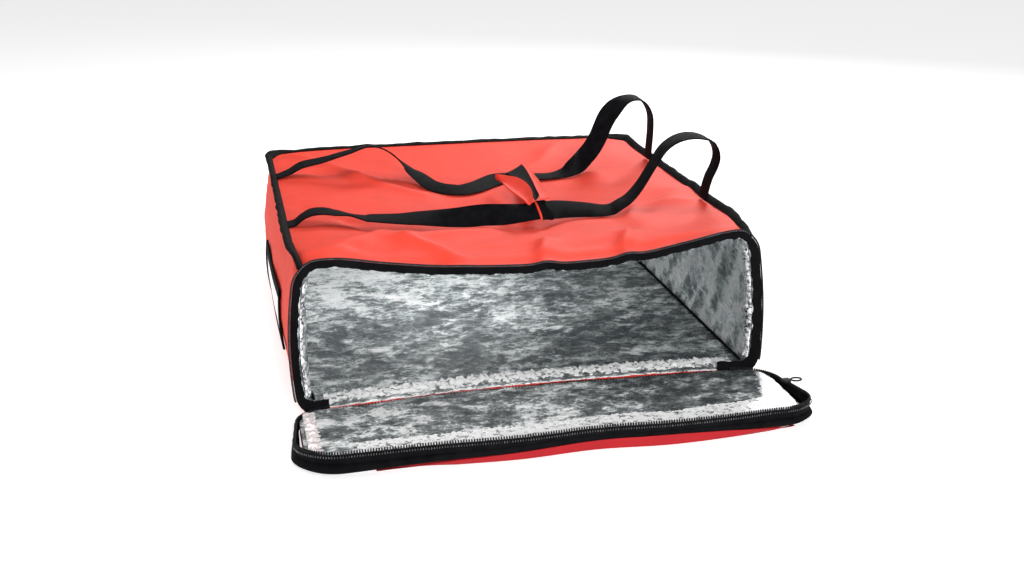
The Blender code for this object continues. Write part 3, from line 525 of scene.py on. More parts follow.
def opening_outline():
    """Outer outline of the opening from the left tape end over the top to the right one."""
    wall = wall_grid(0)
    top = panel_grid(WIDTH_SHARES, 0, top_height, 1)[0]
    base = panel_grid(WIDTH_SHARES, 0, no_height, -1)[0]
    middle = len(base) // 2
    loop = [Vector((TAPE_LEFT_END, FRONT_Y, 0))]
    loop += [point for point in reversed(base[:middle]) if point.x < TAPE_LEFT_END - TAPE_EASE]
    loop += wall[0] + top[1:-1] + list(reversed(wall[-1]))
    loop += [point for point in reversed(base[middle:]) if point.x > TAPE_RIGHT_END + TAPE_EASE]
    loop.append(Vector((TAPE_RIGHT_END, FRONT_Y, 0)))
    return loop


def opening_frames(steps):
    """Evenly spaced places on the opening's outline with the direction outwards."""
    loop = opening_outline()
    lengths = run_lengths(loop)
    columns = [[point.x for point in loop], [point.z for point in loop]]
    frames = []
    for at in np.linspace(0, lengths[-1], steps + 1):
        places = []
        for near in (max(at - TAPE_TURN, 0), at, min(at + TAPE_TURN, lengths[-1])):
            x, z = [np.interp(near, lengths, column) for column in columns]
            places.append(Vector((x, FRONT_Y, z)))
        along = (places[2] - places[0]).normalized()
        frames.append((places[1], Vector((-along.z, 0, along.x))))
    return frames


def flap_outline():
    """Left outline of the flap from the hinge to its front edge."""
    rear = Vector((-HALF_FLAP + FLAP_REAR_CORNER, FLAP_START - FLAP_REAR_CORNER, 0))
    front = Vector((-HALF_FLAP + FLAP_CORNER, FLAP_FRONT + FLAP_CORNER, 0))
    straight = FLAP_REACH - FLAP_CORNER - FLAP_REAR_CORNER
    rows = corner_rows(rear, FLAP_REAR_CORNER, QUARTER[:0:-1])
    for share in FLAP_ROWS:
        rows.append((Vector((-HALF_FLAP, rear.y - share * straight, 0)), Vector((-1, 0, 0))))
    return rows + corner_rows(front, FLAP_CORNER, [-angle for angle in QUARTER])


def flap_height(x, y):
    """Height of the padded flap's upper face, puckered along its stitching."""
    rim = min(HALF_FLAP - abs(x), y - FLAP_FRONT)
    waves = math.sin(11.7 * x / HALF_WIDTH + 3) * math.sin(4.2 * (y - HINGE_Y) / FLAP_REACH)
    sewn = FLAP_SEWN * math.exp(-(FLAP_START - y) / 0.006)
    return FLAP_PADDING - sewn + FLAP_PUCKER * waves * clamp(rim / FLAP_HEM)


def flap_grid(height_at, inset=0.0, raise_by=0.0):
    """Grid over the flap."""
    grid = []
    for place, outward in flap_outline():
        edge = place - outward * inset
        row = []
        for share in FLAP_COLUMNS:
            x = -edge.x * share
            row.append(Vector((x, edge.y, height_at(x, edge.y) + raise_by)))
        grid.append(row)
    return grid


def flap_stations():
    """Outline of the flap from the left end of the hinge to the right one."""
    left = flap_outline()
    reach = -left[-1][0].x
    places = [Vector((share * reach, FLAP_FRONT, 0)) for share in FLAP_COLUMNS[1:-1]]
    return mirrored(left, [(place, Vector((0, -1, 0))) for place in places])


def flap_wall_frames():
    """Place, outward direction and section sizes along the flap's wall, which ends beside the hinge."""
    around = flap_stations()[1:-1]
    lengths = run_lengths([place for place, _ in around])
    frames = []
    for (place, outward), length in zip(around, lengths):
        share = length / lengths[-1]
        section = {}
        for table, size in ((FLAP_RISE, FLAP_WALL_HEIGHT), (FLAP_LEAN, FLAP_WALL_LEAN)):
            for name, shares in table.items():
                section[name] = smooth_value(FLAP_WALL_AT, shares, share) * size
        frames.append((place, outward, section))
    return frames


def at_section(place, outward, out, height):
    """Point of the flap's wall at one distance out and up."""
    return Vector((place.x + outward.x * out, place.y + outward.y * out, height))


def strap_frames(table):
    """Middle, direction across and face direction along one handle."""
    places = []
    for x, y, lift, across_x, across_y, across_z in smooth_rows(table, HANDLE_STEPS):
        across = Vector((across_x, across_y, across_z)).normalized()
        x *= HALF_WIDTH
        y *= HALF_DEPTH
        z = top_height(x, y) + lift * BAG_HEIGHT + WEBBING / 2 * abs(across.z) + WEBBING_REST
        places.append((Vector((x, y, z)), across))
    frames = []
    for index, (place, across) in enumerate(places):
        before = places[max(index - 1, 0)][0]
        after = places[min(index + 1, len(places) - 1)][0]
        along = (after - before).normalized()
        across = (across - along * across.dot(along)).normalized()
        frames.append((place, across, along.cross(across)))
    return frames


def side_point(walls, y, z, off):
    """Point off the left side of the body at one depth and height."""
    rows = [row for row in walls if row[0].x < 0]
    depths = [row[0].y for row in rows[:len(DEPTH_SHARES)]]
    index = min(max(bisect.bisect_left(depths, y) - 1, 0), len(depths) - 2)
    share = (y - depths[index]) / (depths[index + 1] - depths[index])
    place = [one.lerp(other, share) for one, other in zip(rows[index], rows[index + 1])]
    x = np.interp(z, [point.z for point in place], [point.x for point in place])
    return Vector((float(x) - off, y, z))


# Section of the tape round the sleeve: share of its width, height off the wall
LABEL_SECTION = ((0, 0.0008), (0, 0.0030), (0.5, 0.0036), (1, 0.0030), (1, 0.0008))
LABEL_STEPS = 40
# Distances of the sleeve's two faces off the wall, and its waves
SLEEVE_FRONT = 0.0020
SLEEVE_BACK = 0.0014
SLEEVE_WAVE = 0.0006


def make_label():
    """Clear sleeve on the left side with tape round it."""
    walls = wall_grid(0)
    outer = []
    inner = []
    heights = np.linspace(LABEL_LOW + LABEL_TAPE / 2, LABEL_HIGH - LABEL_TAPE / 2, 20)
    for y in np.linspace(LABEL_FRONT + LABEL_TAPE / 2, LABEL_BACK - LABEL_TAPE / 2, 60):
        waves = [SLEEVE_FRONT + SLEEVE_WAVE * rough((y, z, 0), 0.03, 6) for z in heights]
        outer.append([side_point(walls, y, z, off) for z, off in zip(heights, waves)])
        inner.append([side_point(walls, y, z, SLEEVE_BACK) for z in heights])
    make_slab("label_sleeve", outer, inner, "clear", ("label_window",))
    corners = ((LABEL_FRONT, LABEL_LOW), (LABEL_BACK, LABEL_LOW))
    corners += ((LABEL_BACK, LABEL_HIGH), (LABEL_FRONT, LABEL_HIGH))
    widths = ((0, LABEL_EDGE), (-LABEL_EDGE, 0), (0, -LABEL_TAPE), (LABEL_EDGE, 0))
    for index, (dy, dz) in enumerate(widths):
        start, end = corners[index], corners[(index + 1) % 4]
        rings = []
        for step in range(LABEL_STEPS + 1):
            y, z = [lerp(one, other, step / LABEL_STEPS) for one, other in zip(start, end)]
            ring = [side_point(walls, y + dy * share, z + dz * share, off) for share, off in LABEL_SECTION]
            rings.append(ring)
        make_sweep("label_tape_%d" % index, rings, "tape", ("label_binding",) if index == 0 else ())


def ridged(point, scale, seed=0.0):
    """Sharp creases from 0 to 1 at one place."""
    return 1 - abs(2 * rough(point, scale, seed))


def make_piece(name, points, faces, look, nodes=(), cloth=None):
    """One piece of the scene, which rides on the bag and may stand for CAD nodes."""
    mesh = bpy.data.meshes.new(name)
    mesh.from_pydata([slouch(point) for point in points], [], faces)
    if cloth is not None:
        layer = mesh.uv_layers.new(name="cloth")
        corners = np.empty(len(mesh.loops), dtype=int)
        mesh.loops.foreach_get("vertex_index", corners)
        layer.data.foreach_set("uv", np.asarray(cloth, dtype=float)[corners].ravel())
    cleaned = bmesh.new()
    cleaned.from_mesh(mesh)
    bmesh.ops.recalc_face_normals(cleaned, faces=cleaned.faces)
    cleaned.to_mesh(mesh)
    cleaned.free()
    mesh.shade_smooth()
    mesh.set_sharp_from_angle(angle=math.radians(SHARP_FROM))
    mesh.materials.append(LOOKS[look])
    piece = bpy.data.objects.new(name, mesh)
    bpy.context.collection.objects.link(piece)
    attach(piece, "root")
    if nodes:
        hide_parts(*nodes)
    return piece


def grid_cloth(grid):
    """Flat coordinates in metres of each point of a grid."""
    across = np.array([run_lengths(row) for row in grid])
    along = np.array([run_lengths(column) for column in zip(*grid)]).T
    across -= across[:, -1:] / 2
    return np.stack([across, along], axis=-1).reshape(-1, 2)


def set_painted_light(piece, tone_at):
    """Painted light of the foil at each point of a piece, from 0 to 1, stored as the tone attribute: painted
    highlights and painted shade.
    """
    values = [tone_at(vertex.co) for vertex in piece.data.vertices]
    layer = piece.data.attributes.new("tone", "FLOAT", "POINT")
    layer.data.foreach_set("value", values)


def make_slab(name, outer, inner, look, nodes=()):
    """Closed slab between two grids of the same size."""
    rows, columns = len(outer), len(outer[0])
    points = [point for grid in (outer, inner) for row in grid for point in row]
    layer = rows * columns
    faces = []
    for row in range(rows - 1):
        for first in range(row * columns, (row + 1) * columns - 1):
            corners = [first, first + 1, first + columns + 1, first + columns]
            faces.append(corners)
            faces.append([index + layer for index in reversed(corners)])
    border = list(range(columns))
    border += range(2 * columns - 1, layer, columns)
    border += range(layer - 2, layer - columns - 1, -1)
    border += range(layer - 2 * columns, 0, -columns)
    for here, there in zip(border, border[1:] + border[:1]):
        faces.append([there, here, here + layer, there + layer])
    flat = grid_cloth(outer)
    return make_piece(name, points, faces, look, nodes, np.concatenate([flat, flat]))


def make_sweep(name, rings, look, nodes=()):
    """Closed body through rings of the same size."""
    size = len(rings[0])
    points = [point for ring in rings for point in ring]
    faces = []
    for start in range(0, len(points) - size, size):
        for side in range(size):
            here, beside = start + side, start + (side + 1) % size
            faces.append([here, beside, beside + size, here + size])
    faces.append(list(range(size)))
    faces.append(list(range(len(points) - 1, len(points) - size - 1, -1)))
    runs = run_lengths([sum(ring, Vector()) / size for ring in rings])
    flat = []
    for ring, run in zip(rings, runs):
        flat += [(around, run) for around in run_lengths(ring)]
    return make_piece(name, points, faces, look, nodes, flat)


def push_in(grid, inward, amount):
    """A grid moved along one direction by an amount that may depend on the place."""
    return [[point + inward * amount(point) for point in row] for row in grid]


# Sharper creases on the top: ends as shares of half the width and depth, height and
# width in metres, and a negative height for a hollow
TOP_CREASES = (
    # x1, y1, x2, y2, height, width
    (-0.88, -0.95, -0.62, -0.66, 0.0032, 0.010),
    (-0.62, -0.66, -0.42, -0.56, 0.0024, 0.010),
    (-0.50, -0.73, -0.10, -0.56, 0.0040, 0.010),
    (-0.50, -0.74, -0.34, -0.90, 0.0034, 0.008),
    (-0.30, -0.84, 0.05, -0.82, -0.0030, 0.012),
    (-0.80, -0.84, -0.60, -0.86, -0.0028, 0.010),
    (0.10, -0.78, 0.05, -0.96, 0.0034, 0.007),
    (0.22, -0.86, 0.42, -0.84, -0.0024, 0.010),
    (0.48, -0.78, 0.42, -0.96, 0.0030, 0.007),
    (0.56, -0.54, 0.66, -0.36, 0.0036, 0.010),
    (0.66, -0.36, 0.92, -0.40, 0.0028, 0.010),
    (0.60, -0.24, 0.80, -0.20, -0.0024, 0.014),
    (-0.92, -0.10, -0.78, -0.28, -0.0022, 0.009),
    (-0.78, -0.28, -0.64, -0.44, -0.0040, 0.010),
    (-0.64, -0.44, -0.40, -0.53, -0.0036, 0.010),
    (-0.86, 0.69, -0.74, 0.66, 0.0040, 0.009),
    (-0.74, 0.66, -0.58, 0.39, 0.0046, 0.009),
    (-0.58, 0.39, -0.28, 0.08, 0.0030, 0.012),
    (-0.93, 0.93, -0.80, 0.80, 0.0036, 0.008),
    (-0.80, 0.50, -0.66, 0.34, -0.0030, 0.012),
    (-0.95, -0.36, -0.60, -0.30, 0.0020, 0.012),
    (0.42, 0.60, 0.58, 0.88, 0.0028, 0.014),
    (-0.20, -0.20, 0.10, -0.05, 0.0018, 0.020),
    (-0.75, 0.05, -0.45, -0.10, 0.0018, 0.020),
)


def crease_height(x, y):
    """Height of the sharper creases and the cloth's slight unevenness at one place of the top."""
    total = 0.0
    for *ends, height, width in TOP_CREASES:
        distance, share = from_line(x, y, ends)
        swell = 0.4 + 1.2 * math.sin(math.pi * (0.15 + 0.7 * share))
        total += height * math.exp(-((distance / width) ** 1.5)) * swell
    total += 0.0016 * rough((x, y, 0), 0.060) + 0.0005 * rough((x, y, 0), 0.020, 4)
    lip = y - FRONT_Y
    hollow = LIP_HOLLOW * (0.7 + 0.6 * rough((x, 0, 0), 0.03, 3))
    total -= hollow * math.exp(-(((lip - 0.010) / 0.009) ** 2))
    total += LIP_RIDGE * math.exp(-(((lip - 0.026) / 0.010) ** 2))
    edge = min(HALF_WIDTH - abs(x), HALF_DEPTH - abs(y))
    total -= SEAM_DIMPLE * max(math.sin(x * 330 + 2 * math.sin(x * 70)), 0) * math.exp(-edge / 0.006)
    if total < -SOFT_HOLLOW:
        past = -total - SOFT_HOLLOW
        total = -SOFT_HOLLOW - SOFT_REST * (1 - math.exp(-past / SOFT_REST))
    return total * clamp(edge / 0.012)


def fine_top(x, y):
    """Height of the top's outer face with its creases."""
    return top_height(x, y) + crease_height(x, y)


def make_shell():
    """Padded red panels."""
    top = panel_grid(WIDTH_SHARES, 0, fine_top, 1)
    base = panel_grid(WIDTH_SHARES[::2], 0, no_height, -1)
    wall = wall_grid(0)
    for index, (row, (_, outward)) in enumerate(zip(wall, stations())):
        for column, point in enumerate(row):
            share = WALL_SHARES[column]
            place = (point.x, point.y, point.z * 2.2)
            lift = 0.0022 * rough(place, 0.060, 2) + 0.0008 * rough(place, 0.016, 7)
            gather = math.sin(index * 0.9 + 2 * math.sin(index * 0.21))
            lift += 0.0010 * gather * math.exp(-(1 - share) / 0.10)
            row[column] = point + outward * lift * math.sin(math.pi * share) ** 0.5
    for name, node, outer, inner in (
        ("top_cloth", "top_panel", top, push_in(top, -UP, lambda point: PADDING)),
        ("base_cloth", "bottom_panel", base, push_in(base, UP, lambda point: PADDING)),
        ("wall_cloth", "wall_band", wall, wall_grid(PADDING)),
    ):
        make_slab(name, outer, inner, "red", (node,))


def crinkle(point):
    """Depth of the foil's crinkles at one place, with the film's own."""
    stretched = (point.x, point.y * 1.6, point.z)
    fine = ridged(stretched, 0.017, 3) ** 3 * 0.0009 + ridged(stretched, 0.008, 9) ** 2 * 0.0005
    return FOIL * 0.5 + fine + 0.0008 * (1 + rough(stretched, 0.045, 5))


# Painted highlight along a long fold of the floor's foil, which bounds the corner of painted shade:
# a place on it, its run and their length, and its width
FOLD_X, FOLD_Y = -0.022, -0.207
FOLD_RUN_X, FOLD_RUN_Y = 0.126, 0.122
FOLD_LENGTH = 0.175
FOLD_WIDTH = 0.006
# Pitch of the painted highlights on slanting folds of the wall's foil
WALL_FOLDS = 0.055
# Painted highlights and painted shade in patches on the floor's foil
FLOOR_PAINTED_LIGHT = (
    # x, y, half width, half depth, lift (a painted highlight above zero, painted shade below)
    (-0.185, 0.180, 0.030, 0.030, 0.26),
    (-0.115, 0.153, 0.034, 0.030, 0.26),
    (-0.191, 0.064, 0.012, 0.034, 0.30),
    (-0.060, 0.190, 0.040, 0.020, 0.18),
    (0.020, 0.165, 0.030, 0.018, 0.16),
    (-0.205, -0.120, 0.020, 0.070, -0.10),
    (-0.060, -0.020, 0.060, 0.030, -0.10),
    (-0.120, -0.180, 0.070, 0.030, -0.12),
)


def floor_painted_light(place):
    """Painted light of the floor's foil: painted highlights in patches at the back left, painted shade in a
    corner at the right.
    """
    back = clamp((place.y + 0.02) / 0.26)
    left = clamp((0.20 - place.x) / 0.30)
    beside = (place.x - FOLD_X) * FOLD_RUN_Y - (place.y - FOLD_Y) * FOLD_RUN_X
    corner = clamp((0.02 - place.y) / 0.10) * clamp((place.x + 0.02) / 0.04) if beside > -0.002 else 0
    fold_highlight = beside / FOLD_LENGTH / FOLD_WIDTH if -0.03 < place.x < 0.12 else math.inf
    # Painted highlights grow towards the back left and along the fold; painted shade darkens the corner
    total = 0.45 + 0.14 * back + 0.18 * back * left - 0.15 * corner + 0.22 * math.exp(-(fold_highlight ** 2))
    for x, y, wide, deep, lift in FLOOR_PAINTED_LIGHT:
        away = ((place.x - x) / wide) ** 2 + ((place.y - y) / deep) ** 2
        total += lift * math.exp(-away)
    return total


def wall_painted_light(place):
    """Painted light of the wall's foil: painted highlights on slanting folds at the sides, and painted shade
    that darkens it towards the floor.
    """
    high = clamp(place.z / BAG_HEIGHT)
    if place.y > 0.2:
        return 0.44 + 0.20 * high
    slant = (place.y + 0.9 * place.z) / WALL_FOLDS
    fold = ridged((slant, 0.35 * place.z / WALL_FOLDS, 4), 1.0, 2)
    return 0.30 + 0.14 * high + 0.50 * fold ** 4


def wall_slack(point):
    """How far the foil hangs in from the left side, most a little behind the opening."""
    if point.x > 0:
        return 0.0
    behind = point.y - FRONT_Y
    rise = clamp(behind / 0.025) * clamp((0.16 - behind) / 0.12)
    high = clamp(point.z / BAG_HEIGHT)
    return WALL_SLACK * rise * math.sin(math.pi * min(0.10 + high * 0.85, 1)) ** 0.5


def make_lining():
    """Crinkled foil inside the body."""
    inset = PADDING + GAP
    top = panel_grid(WIDTH_SHARES, inset, top_height, 1)
    sheet = make_slab("top_foil", top, push_in(top, -UP, crinkle), "foil", ("lining_top",))
    set_painted_light(sheet, lambda place: 0.5)
    low = panel_grid(WIDTH_SHARES, inset, no_height, -1)
    floor = make_slab("floor_foil", push_in(low, UP, crinkle), low, "foil", ("lining_floor",))
    set_painted_light(floor, floor_painted_light)
    outer = wall_grid(inset)
    inner = []
    for row, (_, outward) in zip(outer, stations()):
        for point in row:
            point -= outward * wall_slack(point)
        inner.append([point - outward * crinkle(point) for point in row])
    walls = make_slab("wall_foil", outer, inner, "wall_foil", ("lining_walls",))
    set_painted_light(walls, wall_painted_light)
    make_corner_seams()
    hinge_edge, *side_edges = make_foil_edges()


def make_corner_seams():
    """Dark bound seams in the two lower corners of the inside."""
    reach = HALF_WIDTH - PADDING - FOIL - 0.003
    for side, name in ((-1, "left_seam"), (1, "right_seam")):
        rings = []
        for step, y in enumerate(np.linspace(FRONT_Y + 0.006, HALF_DEPTH - BACK_CORNER, 60)):
            inset = MITRE * edge_radius(y, PADDING) + 0.0015
            centre = Vector((side * (reach - inset), y, PADDING + FOIL + inset + 0.0012))
            radius = SEAM_RADIUS + SEAM_WAVE * waver(step / 4, side)
            rings.append(circle(centre, ACROSS, UP, radius, 8))
        make_sweep(name, rings, "tape")


def make_strip(name, near, far, look, rag, crumple, normal=UP, steps=7, seed=0.0):
    """Crumpled strip of foil between two lines, with a ragged far edge."""
    top = []
    low = []
    for index, (one, other) in enumerate(zip(near, far)):
        reach = 1 + rag * (waver(index / 2.3, seed, 1) + 0.6 * waver(index / 0.9, seed, 7))
        row = []
        under = []
        for share in np.linspace(0, 1, steps):
            point = one + (other - one) * share * reach
            swell = math.sin(math.pi * (0.12 + 0.80 * share))
            lift = crumple * (0.6 + noise.noise(point / 0.006 + Vector((seed, 0, 0)))) * swell
            lift = max(lift + crumple * 0.5 * noise.noise(point / 0.0025), 0)
            row.append(point + normal * (lift + STRIP_THICK))
            under.append(point + normal * lift * 0.5)
        top.append(row)
        low.append(under)
    piece = make_slab(name, top, low, look)
    set_painted_light(piece, lambda place: 0.5)
    return piece


def make_foil_edges():
    """Bright turned edges of the foil along the hinge and beside the zip tape; their white is a painted
    highlight.
    """
    along = np.linspace(TAPE_LEFT_END - 0.004, TAPE_RIGHT_END + 0.022, 240)
    rise = PADDING + GAP + FOIL * 0.5 + HINGE_FOIL_RISE
    near = [Vector((x, FRONT_Y - 0.0010, PADDING * 0.85)) for x in along]
    far = [Vector((x, FRONT_Y + HINGE_FOIL_REACH, rise)) for x in along]
    edges = [make_strip("hinge_foil", near, far, "painted_highlight_foil", 0.30, 0.0030)]
    walls = wall_grid(PADDING + GAP + FOIL)
    sides = (("left_edge", walls[0], 1, 0.0060), ("right_edge", walls[-1], -1, -0.0034))
    for name, row, inward, reach in sides:
        line = [row[index].lerp(row[index + 1], share) for index, share in fine_line(row, 0.0014)][6:-6]
        near = [point + Vector((inward * 0.0018, 0.0005, 0)) for point in line]
        far = [point + Vector((reach, SIDE_FOIL_REACH, 0)) for point in line]
        normal = ACROSS * inward
        edges.append(make_strip(name, near, far, "edge_highlight_foil", 0.45, 0.0030, normal, steps=6, seed=3 + inward))
    return edges


def fine_line(points, pitch):
    """Points a pitch apart along a line, with the index and share of each."""
    lengths = run_lengths(points)
    count = max(int(lengths[-1] / pitch), 1)
    places = []
    for at in np.linspace(0, lengths[-1], count + 1):
        index = min(max(int(np.searchsorted(lengths, at)) - 1, 0), len(points) - 2)
        span = lengths[index + 1] - lengths[index]
        places.append((index, (at - lengths[index]) / span if span else 0.0))
    return places


def spots_along(line, outs, pitch):
    """Spot, direction along and direction out at each pitch of a line."""
    spots = []
    for index, share in fine_line(line, pitch):
        here, there = line[index], line[index + 1]
        spots.append((here.lerp(there, share), (there - here).normalized(), outs[index]))
    return spots


# Section of the folded tape: share of its width from the seam, share of its thickness
BINDING_SECTION = ((-0.12, -0.42), (0.35, -0.50), (0.80, -0.46), (0.97, -0.25), (1.0, 0), (0.97, 0.25),
                   (0.80, 0.46), (0.35, 0.50), (-0.12, 0.42))


def make_binding():
    """Lumpy folded tape along the top seam."""
    around = stations()
    last = len(around) - 1
    lengths = run_lengths([place for place, _ in around])
    rings = []
    for index, ((place, outward), run) in enumerate(zip(around, lengths)):
        mitre = MITRE * edge_radius(place.y, 0)
        edge = place - outward * mitre
        seam = Vector((edge.x, edge.y, top_height(edge.x, edge.y) - mitre))
        if index in (0, last):
            seam.y += 2 * GAP
        lean = BINDING_LEAN + (BINDING_BACK_LEAN - BINDING_LEAN) * outward.y
        wave = math.radians(lean + 13 * waver(run / 0.034, 1) + 7 * waver(run / 0.012, 5))
        reach = outward * math.cos(wave) + UP * math.sin(wave)
        across = outward * -math.sin(wave) + UP * math.cos(wave)
        side = abs(outward.x)
        turning = abs(outward.x * outward.y) * 2
        wide = BINDING_WIDTH * (1.05 + 0.12 * side + 0.5 * turning + 0.16 * waver(run / 0.02, 9))
        if outward.x < 0:
            wide *= 1 + 0.35 * clamp((0.05 - place.y) / 0.25)
        ends = min(index, last - index) / 5
        wide *= min(0.55 + 0.45 * ends, 1)
        thick = BINDING_THICK * (1.15 + 0.65 * side + 0.6 * turning + 0.35 * waver(run / 0.015, 3))
        rings.append([seam + reach * (out * wide) + across * (off * thick) for out, off in BINDING_SECTION])
    make_sweep("seam_binding", rings, "tape", ("top_binding",))


def tooth_block(centre, along, across, up, length, width, height):
    """Points and faces of one small block with a narrowed top."""
    points = []
    for lift, narrow in ((-0.5, 1.0), (0.2, 1.0), (0.5, 0.55)):
        for one, other in ((-1, -1), (1, -1), (1, 1), (-1, 1)):
            side = along * one * length / 2 + across * other * width / 2
            points.append(centre + side * narrow + up * lift * height)
    faces = [(3, 2, 1, 0), (8, 9, 10, 11)]
    for level in (0, 4):
        for side in range(4):
            beside = (side + 1) % 4
            faces.append((level + side, level + beside, level + 4 + beside, level + 4 + side))
    return points, faces


def make_blocks(name, frames, size, look, nodes=()):
    """Many small blocks along a line, joined in one piece."""
    points = []
    faces = []
    for centre, along, across, up in frames:
        block, sides = tooth_block(centre, along, across, up, *size)
        start = len(points)
        points += block
        faces += [[start + index for index in side] for side in sides]
    return make_piece(name, points, faces, look, nodes)


def make_opening():
    """Zip tape round the opening with its teeth."""
    tape = []
    line = []
    outs = []
    for index, (place, outward) in enumerate(opening_frames(OPENING_STEPS)):
        inset = TAPE_INSET + (TAPE_FOOT - TAPE_INSET) * max(-outward.z, 0) ** 2
        inset -= TAPE_TRIM * max(outward.z, -outward.x, 0)
        inset += 0.0016 * waver(index / 5, 8) + 0.0010 * waver(index / 1.7, 2)
        inner = place - outward * inset + FORWARD * 3 * GAP
        outer = place + outward * TAPE_FLARE + FORWARD * (TAPE_FLARE + 3 * GAP)
        outer.z = max(outer.z, 2 * GAP)
        if abs(outward.x) < 0.3 and outward.z < 0:
            inner.x = place.x
            outer.x = place.x
        thick = FORWARD * TAPE_THICK
        ripple = FORWARD * 0.0007 * waver(index / 9, 3)
        faces = ((0, 1), (0.33, 1.25), (0.66, 1.1), (1, 1))
        ring = [inner.lerp(outer, share) + thick * off + ripple for share, off in faces]
        ring += [inner.lerp(outer, share) + ripple * 0.3 for share, _ in reversed(faces)]
        tape.append(ring)
        if place.z > BAG_HEIGHT * 0.1:
            line.append(outer + outward * GAP + thick / 2)
            outs.append(outward)
    make_sweep("opening_tape", tape, "tape", ("opening_zip_tape",))
    half = COIL / 2
    coil = [circle(spot + outward * half, FORWARD, outward, half, 8) for spot, outward in zip(line, outs)]
    make_sweep("opening_coil", coil, "coil", ("opening_zip_teeth",))
    frames = []
    for spot, along, outward in spots_along(line, outs, TOOTH_PITCH):
        if outward.x <= 0.6:
            frames.append((spot + outward * COIL * 0.35 + FORWARD * COIL * 0.42, along, outward, FORWARD))
    make_blocks("opening_teeth", frames, (TOOTH_PITCH * 0.24, COIL * 0.45, 0.0007), "thread")


def make_hinge():
    """Red seam strip on which the flap folds, pulled in by its stitches; its red is the darker red of painted
    shade.
    """
    rings = []
    back = FRONT_Y - GAP
    for x in np.linspace(TAPE_LEFT_END + 2 * GAP, TAPE_RIGHT_END - 2 * GAP, 300):
        rise = HINGE_THICK * 0.6 + HINGE_WAVE * math.sin(9.7 * x / HALF_WIDTH)
        rise += 0.0008 * waver(x / 0.012, 0, 2) + 0.0008 * waver(x / 0.004, 0, 7)
        ring = [Vector((x, back, HINGE_FOOT)), Vector((x, HINGE_Y, HINGE_FOOT))]
        for share, lift in ((1, 0.55), (0.85, 0.9), (0.6, 1), (0.35, 1), (0.15, 0.9), (0, 0.6)):
            ring.append(Vector((x, lerp(back, HINGE_Y, share), HINGE_FOOT + rise * lift)))
        rings.append(ring)
    make_sweep("hinge_cloth", rings, "shaded_red", ("hinge_strip",))
    frames = []
    y = FLAP_START - STITCH_SETBACK
    for x in np.arange(TAPE_LEFT_END + 0.01, TAPE_RIGHT_END - 0.01, STITCH_PITCH):
        spot = Vector((x, y, flap_height(x, y) + GAP + FOIL * 0.5 + 0.0015))
        frames.append((spot, ACROSS, FORWARD, UP))
    make_blocks("hinge_stitches", frames, (STITCH_PITCH * 0.45, 0.0016, 0.0008), "tape")


def flap_painted_light(place):
    """Painted light of the flap's foil: painted shade, darker beside the hinge and at the right."""
    from_hinge = clamp((HINGE_Y - place.y) / 0.05)
    right = clamp((place.x - 0.02) / 0.14)
    return 0.40 + 0.12 * from_hinge - 0.14 * right + 0.05 * (1 if place.x < -0.05 else 0)


# Turned foil on the flap, all in metres: how far it keeps from the flap's ends and front,
# how wide it is, how much wider it grows to the right, and its waves
BORDER_LEFT = 0.050
BORDER_RIGHT = 0.030
BORDER_FRONT = 0.0035
BORDER_WIDTH = 0.042
BORDER_SLANT = 0.020
BORDER_WAVE = 0.006
END_FRONT = 0.012
END_BACK = 0.020
END_WIDTH = 0.046
END_TAPER = 0.040
CORNER_FRONT = 0.010
CORNER_BACK = 0.018
CORNER_EDGE = 0.004
CORNER_WIDTH = 0.012
FOIL_RISE = 0.0020


def on_flap(x, y, height_x=None):
    """Place on the flap's foil, with the height of the flap at the same or another x."""
    height = flap_height(x if height_x is None else height_x, y)
    return Vector((x, y, height + GAP + FOIL * 0.5 + FOIL_RISE))


def make_flap_borders():
    """Bright turned border of the flap's foil along its front and ends; the white of its front border is a
    painted highlight.
    """
    near = []
    far = []
    for x in np.linspace(-HALF_FLAP + BORDER_LEFT, HALF_FLAP - BORDER_RIGHT, 260):
        width = BORDER_WIDTH + BORDER_SLANT * x + BORDER_WAVE * waver(x / 0.05, 2)
        near.append(on_flap(x, FLAP_FRONT) - FORWARD * BORDER_FRONT)
        far.append(on_flap(x, FLAP_FRONT + width))
    edges = [make_strip("flap_border", near, far, "painted_highlight_foil", 0.10, 0.0012)]
    near = []
    far = []
    for share in np.linspace(0, 1, 60):
        y = lerp(FLAP_FRONT + END_FRONT, FLAP_START - END_BACK, share)
        inset = 0.003 + 0.006 * (2 * share - 1) ** 4
        reach = END_WIDTH - END_TAPER * share
        near.append(on_flap(HALF_FLAP - inset, y, HALF_FLAP))
        far.append(on_flap(HALF_FLAP - inset - reach, y, HALF_FLAP - reach))
    edges.append(make_strip("flap_end", near, far, "smooth_foil", 0.30, 0.0003, seed=5))
    rows = np.linspace(FLAP_FRONT + CORNER_FRONT, FLAP_START - CORNER_BACK, 80)
    near = [on_flap(-HALF_FLAP + CORNER_EDGE, y, -HALF_FLAP) for y in rows]
    far = [on_flap(-HALF_FLAP + CORNER_EDGE + CORNER_WIDTH, y) for y in rows]
    edges.append(make_strip("flap_corner", near, far, "pink_foil", 0.35, 0.0026, seed=8))
    return edges


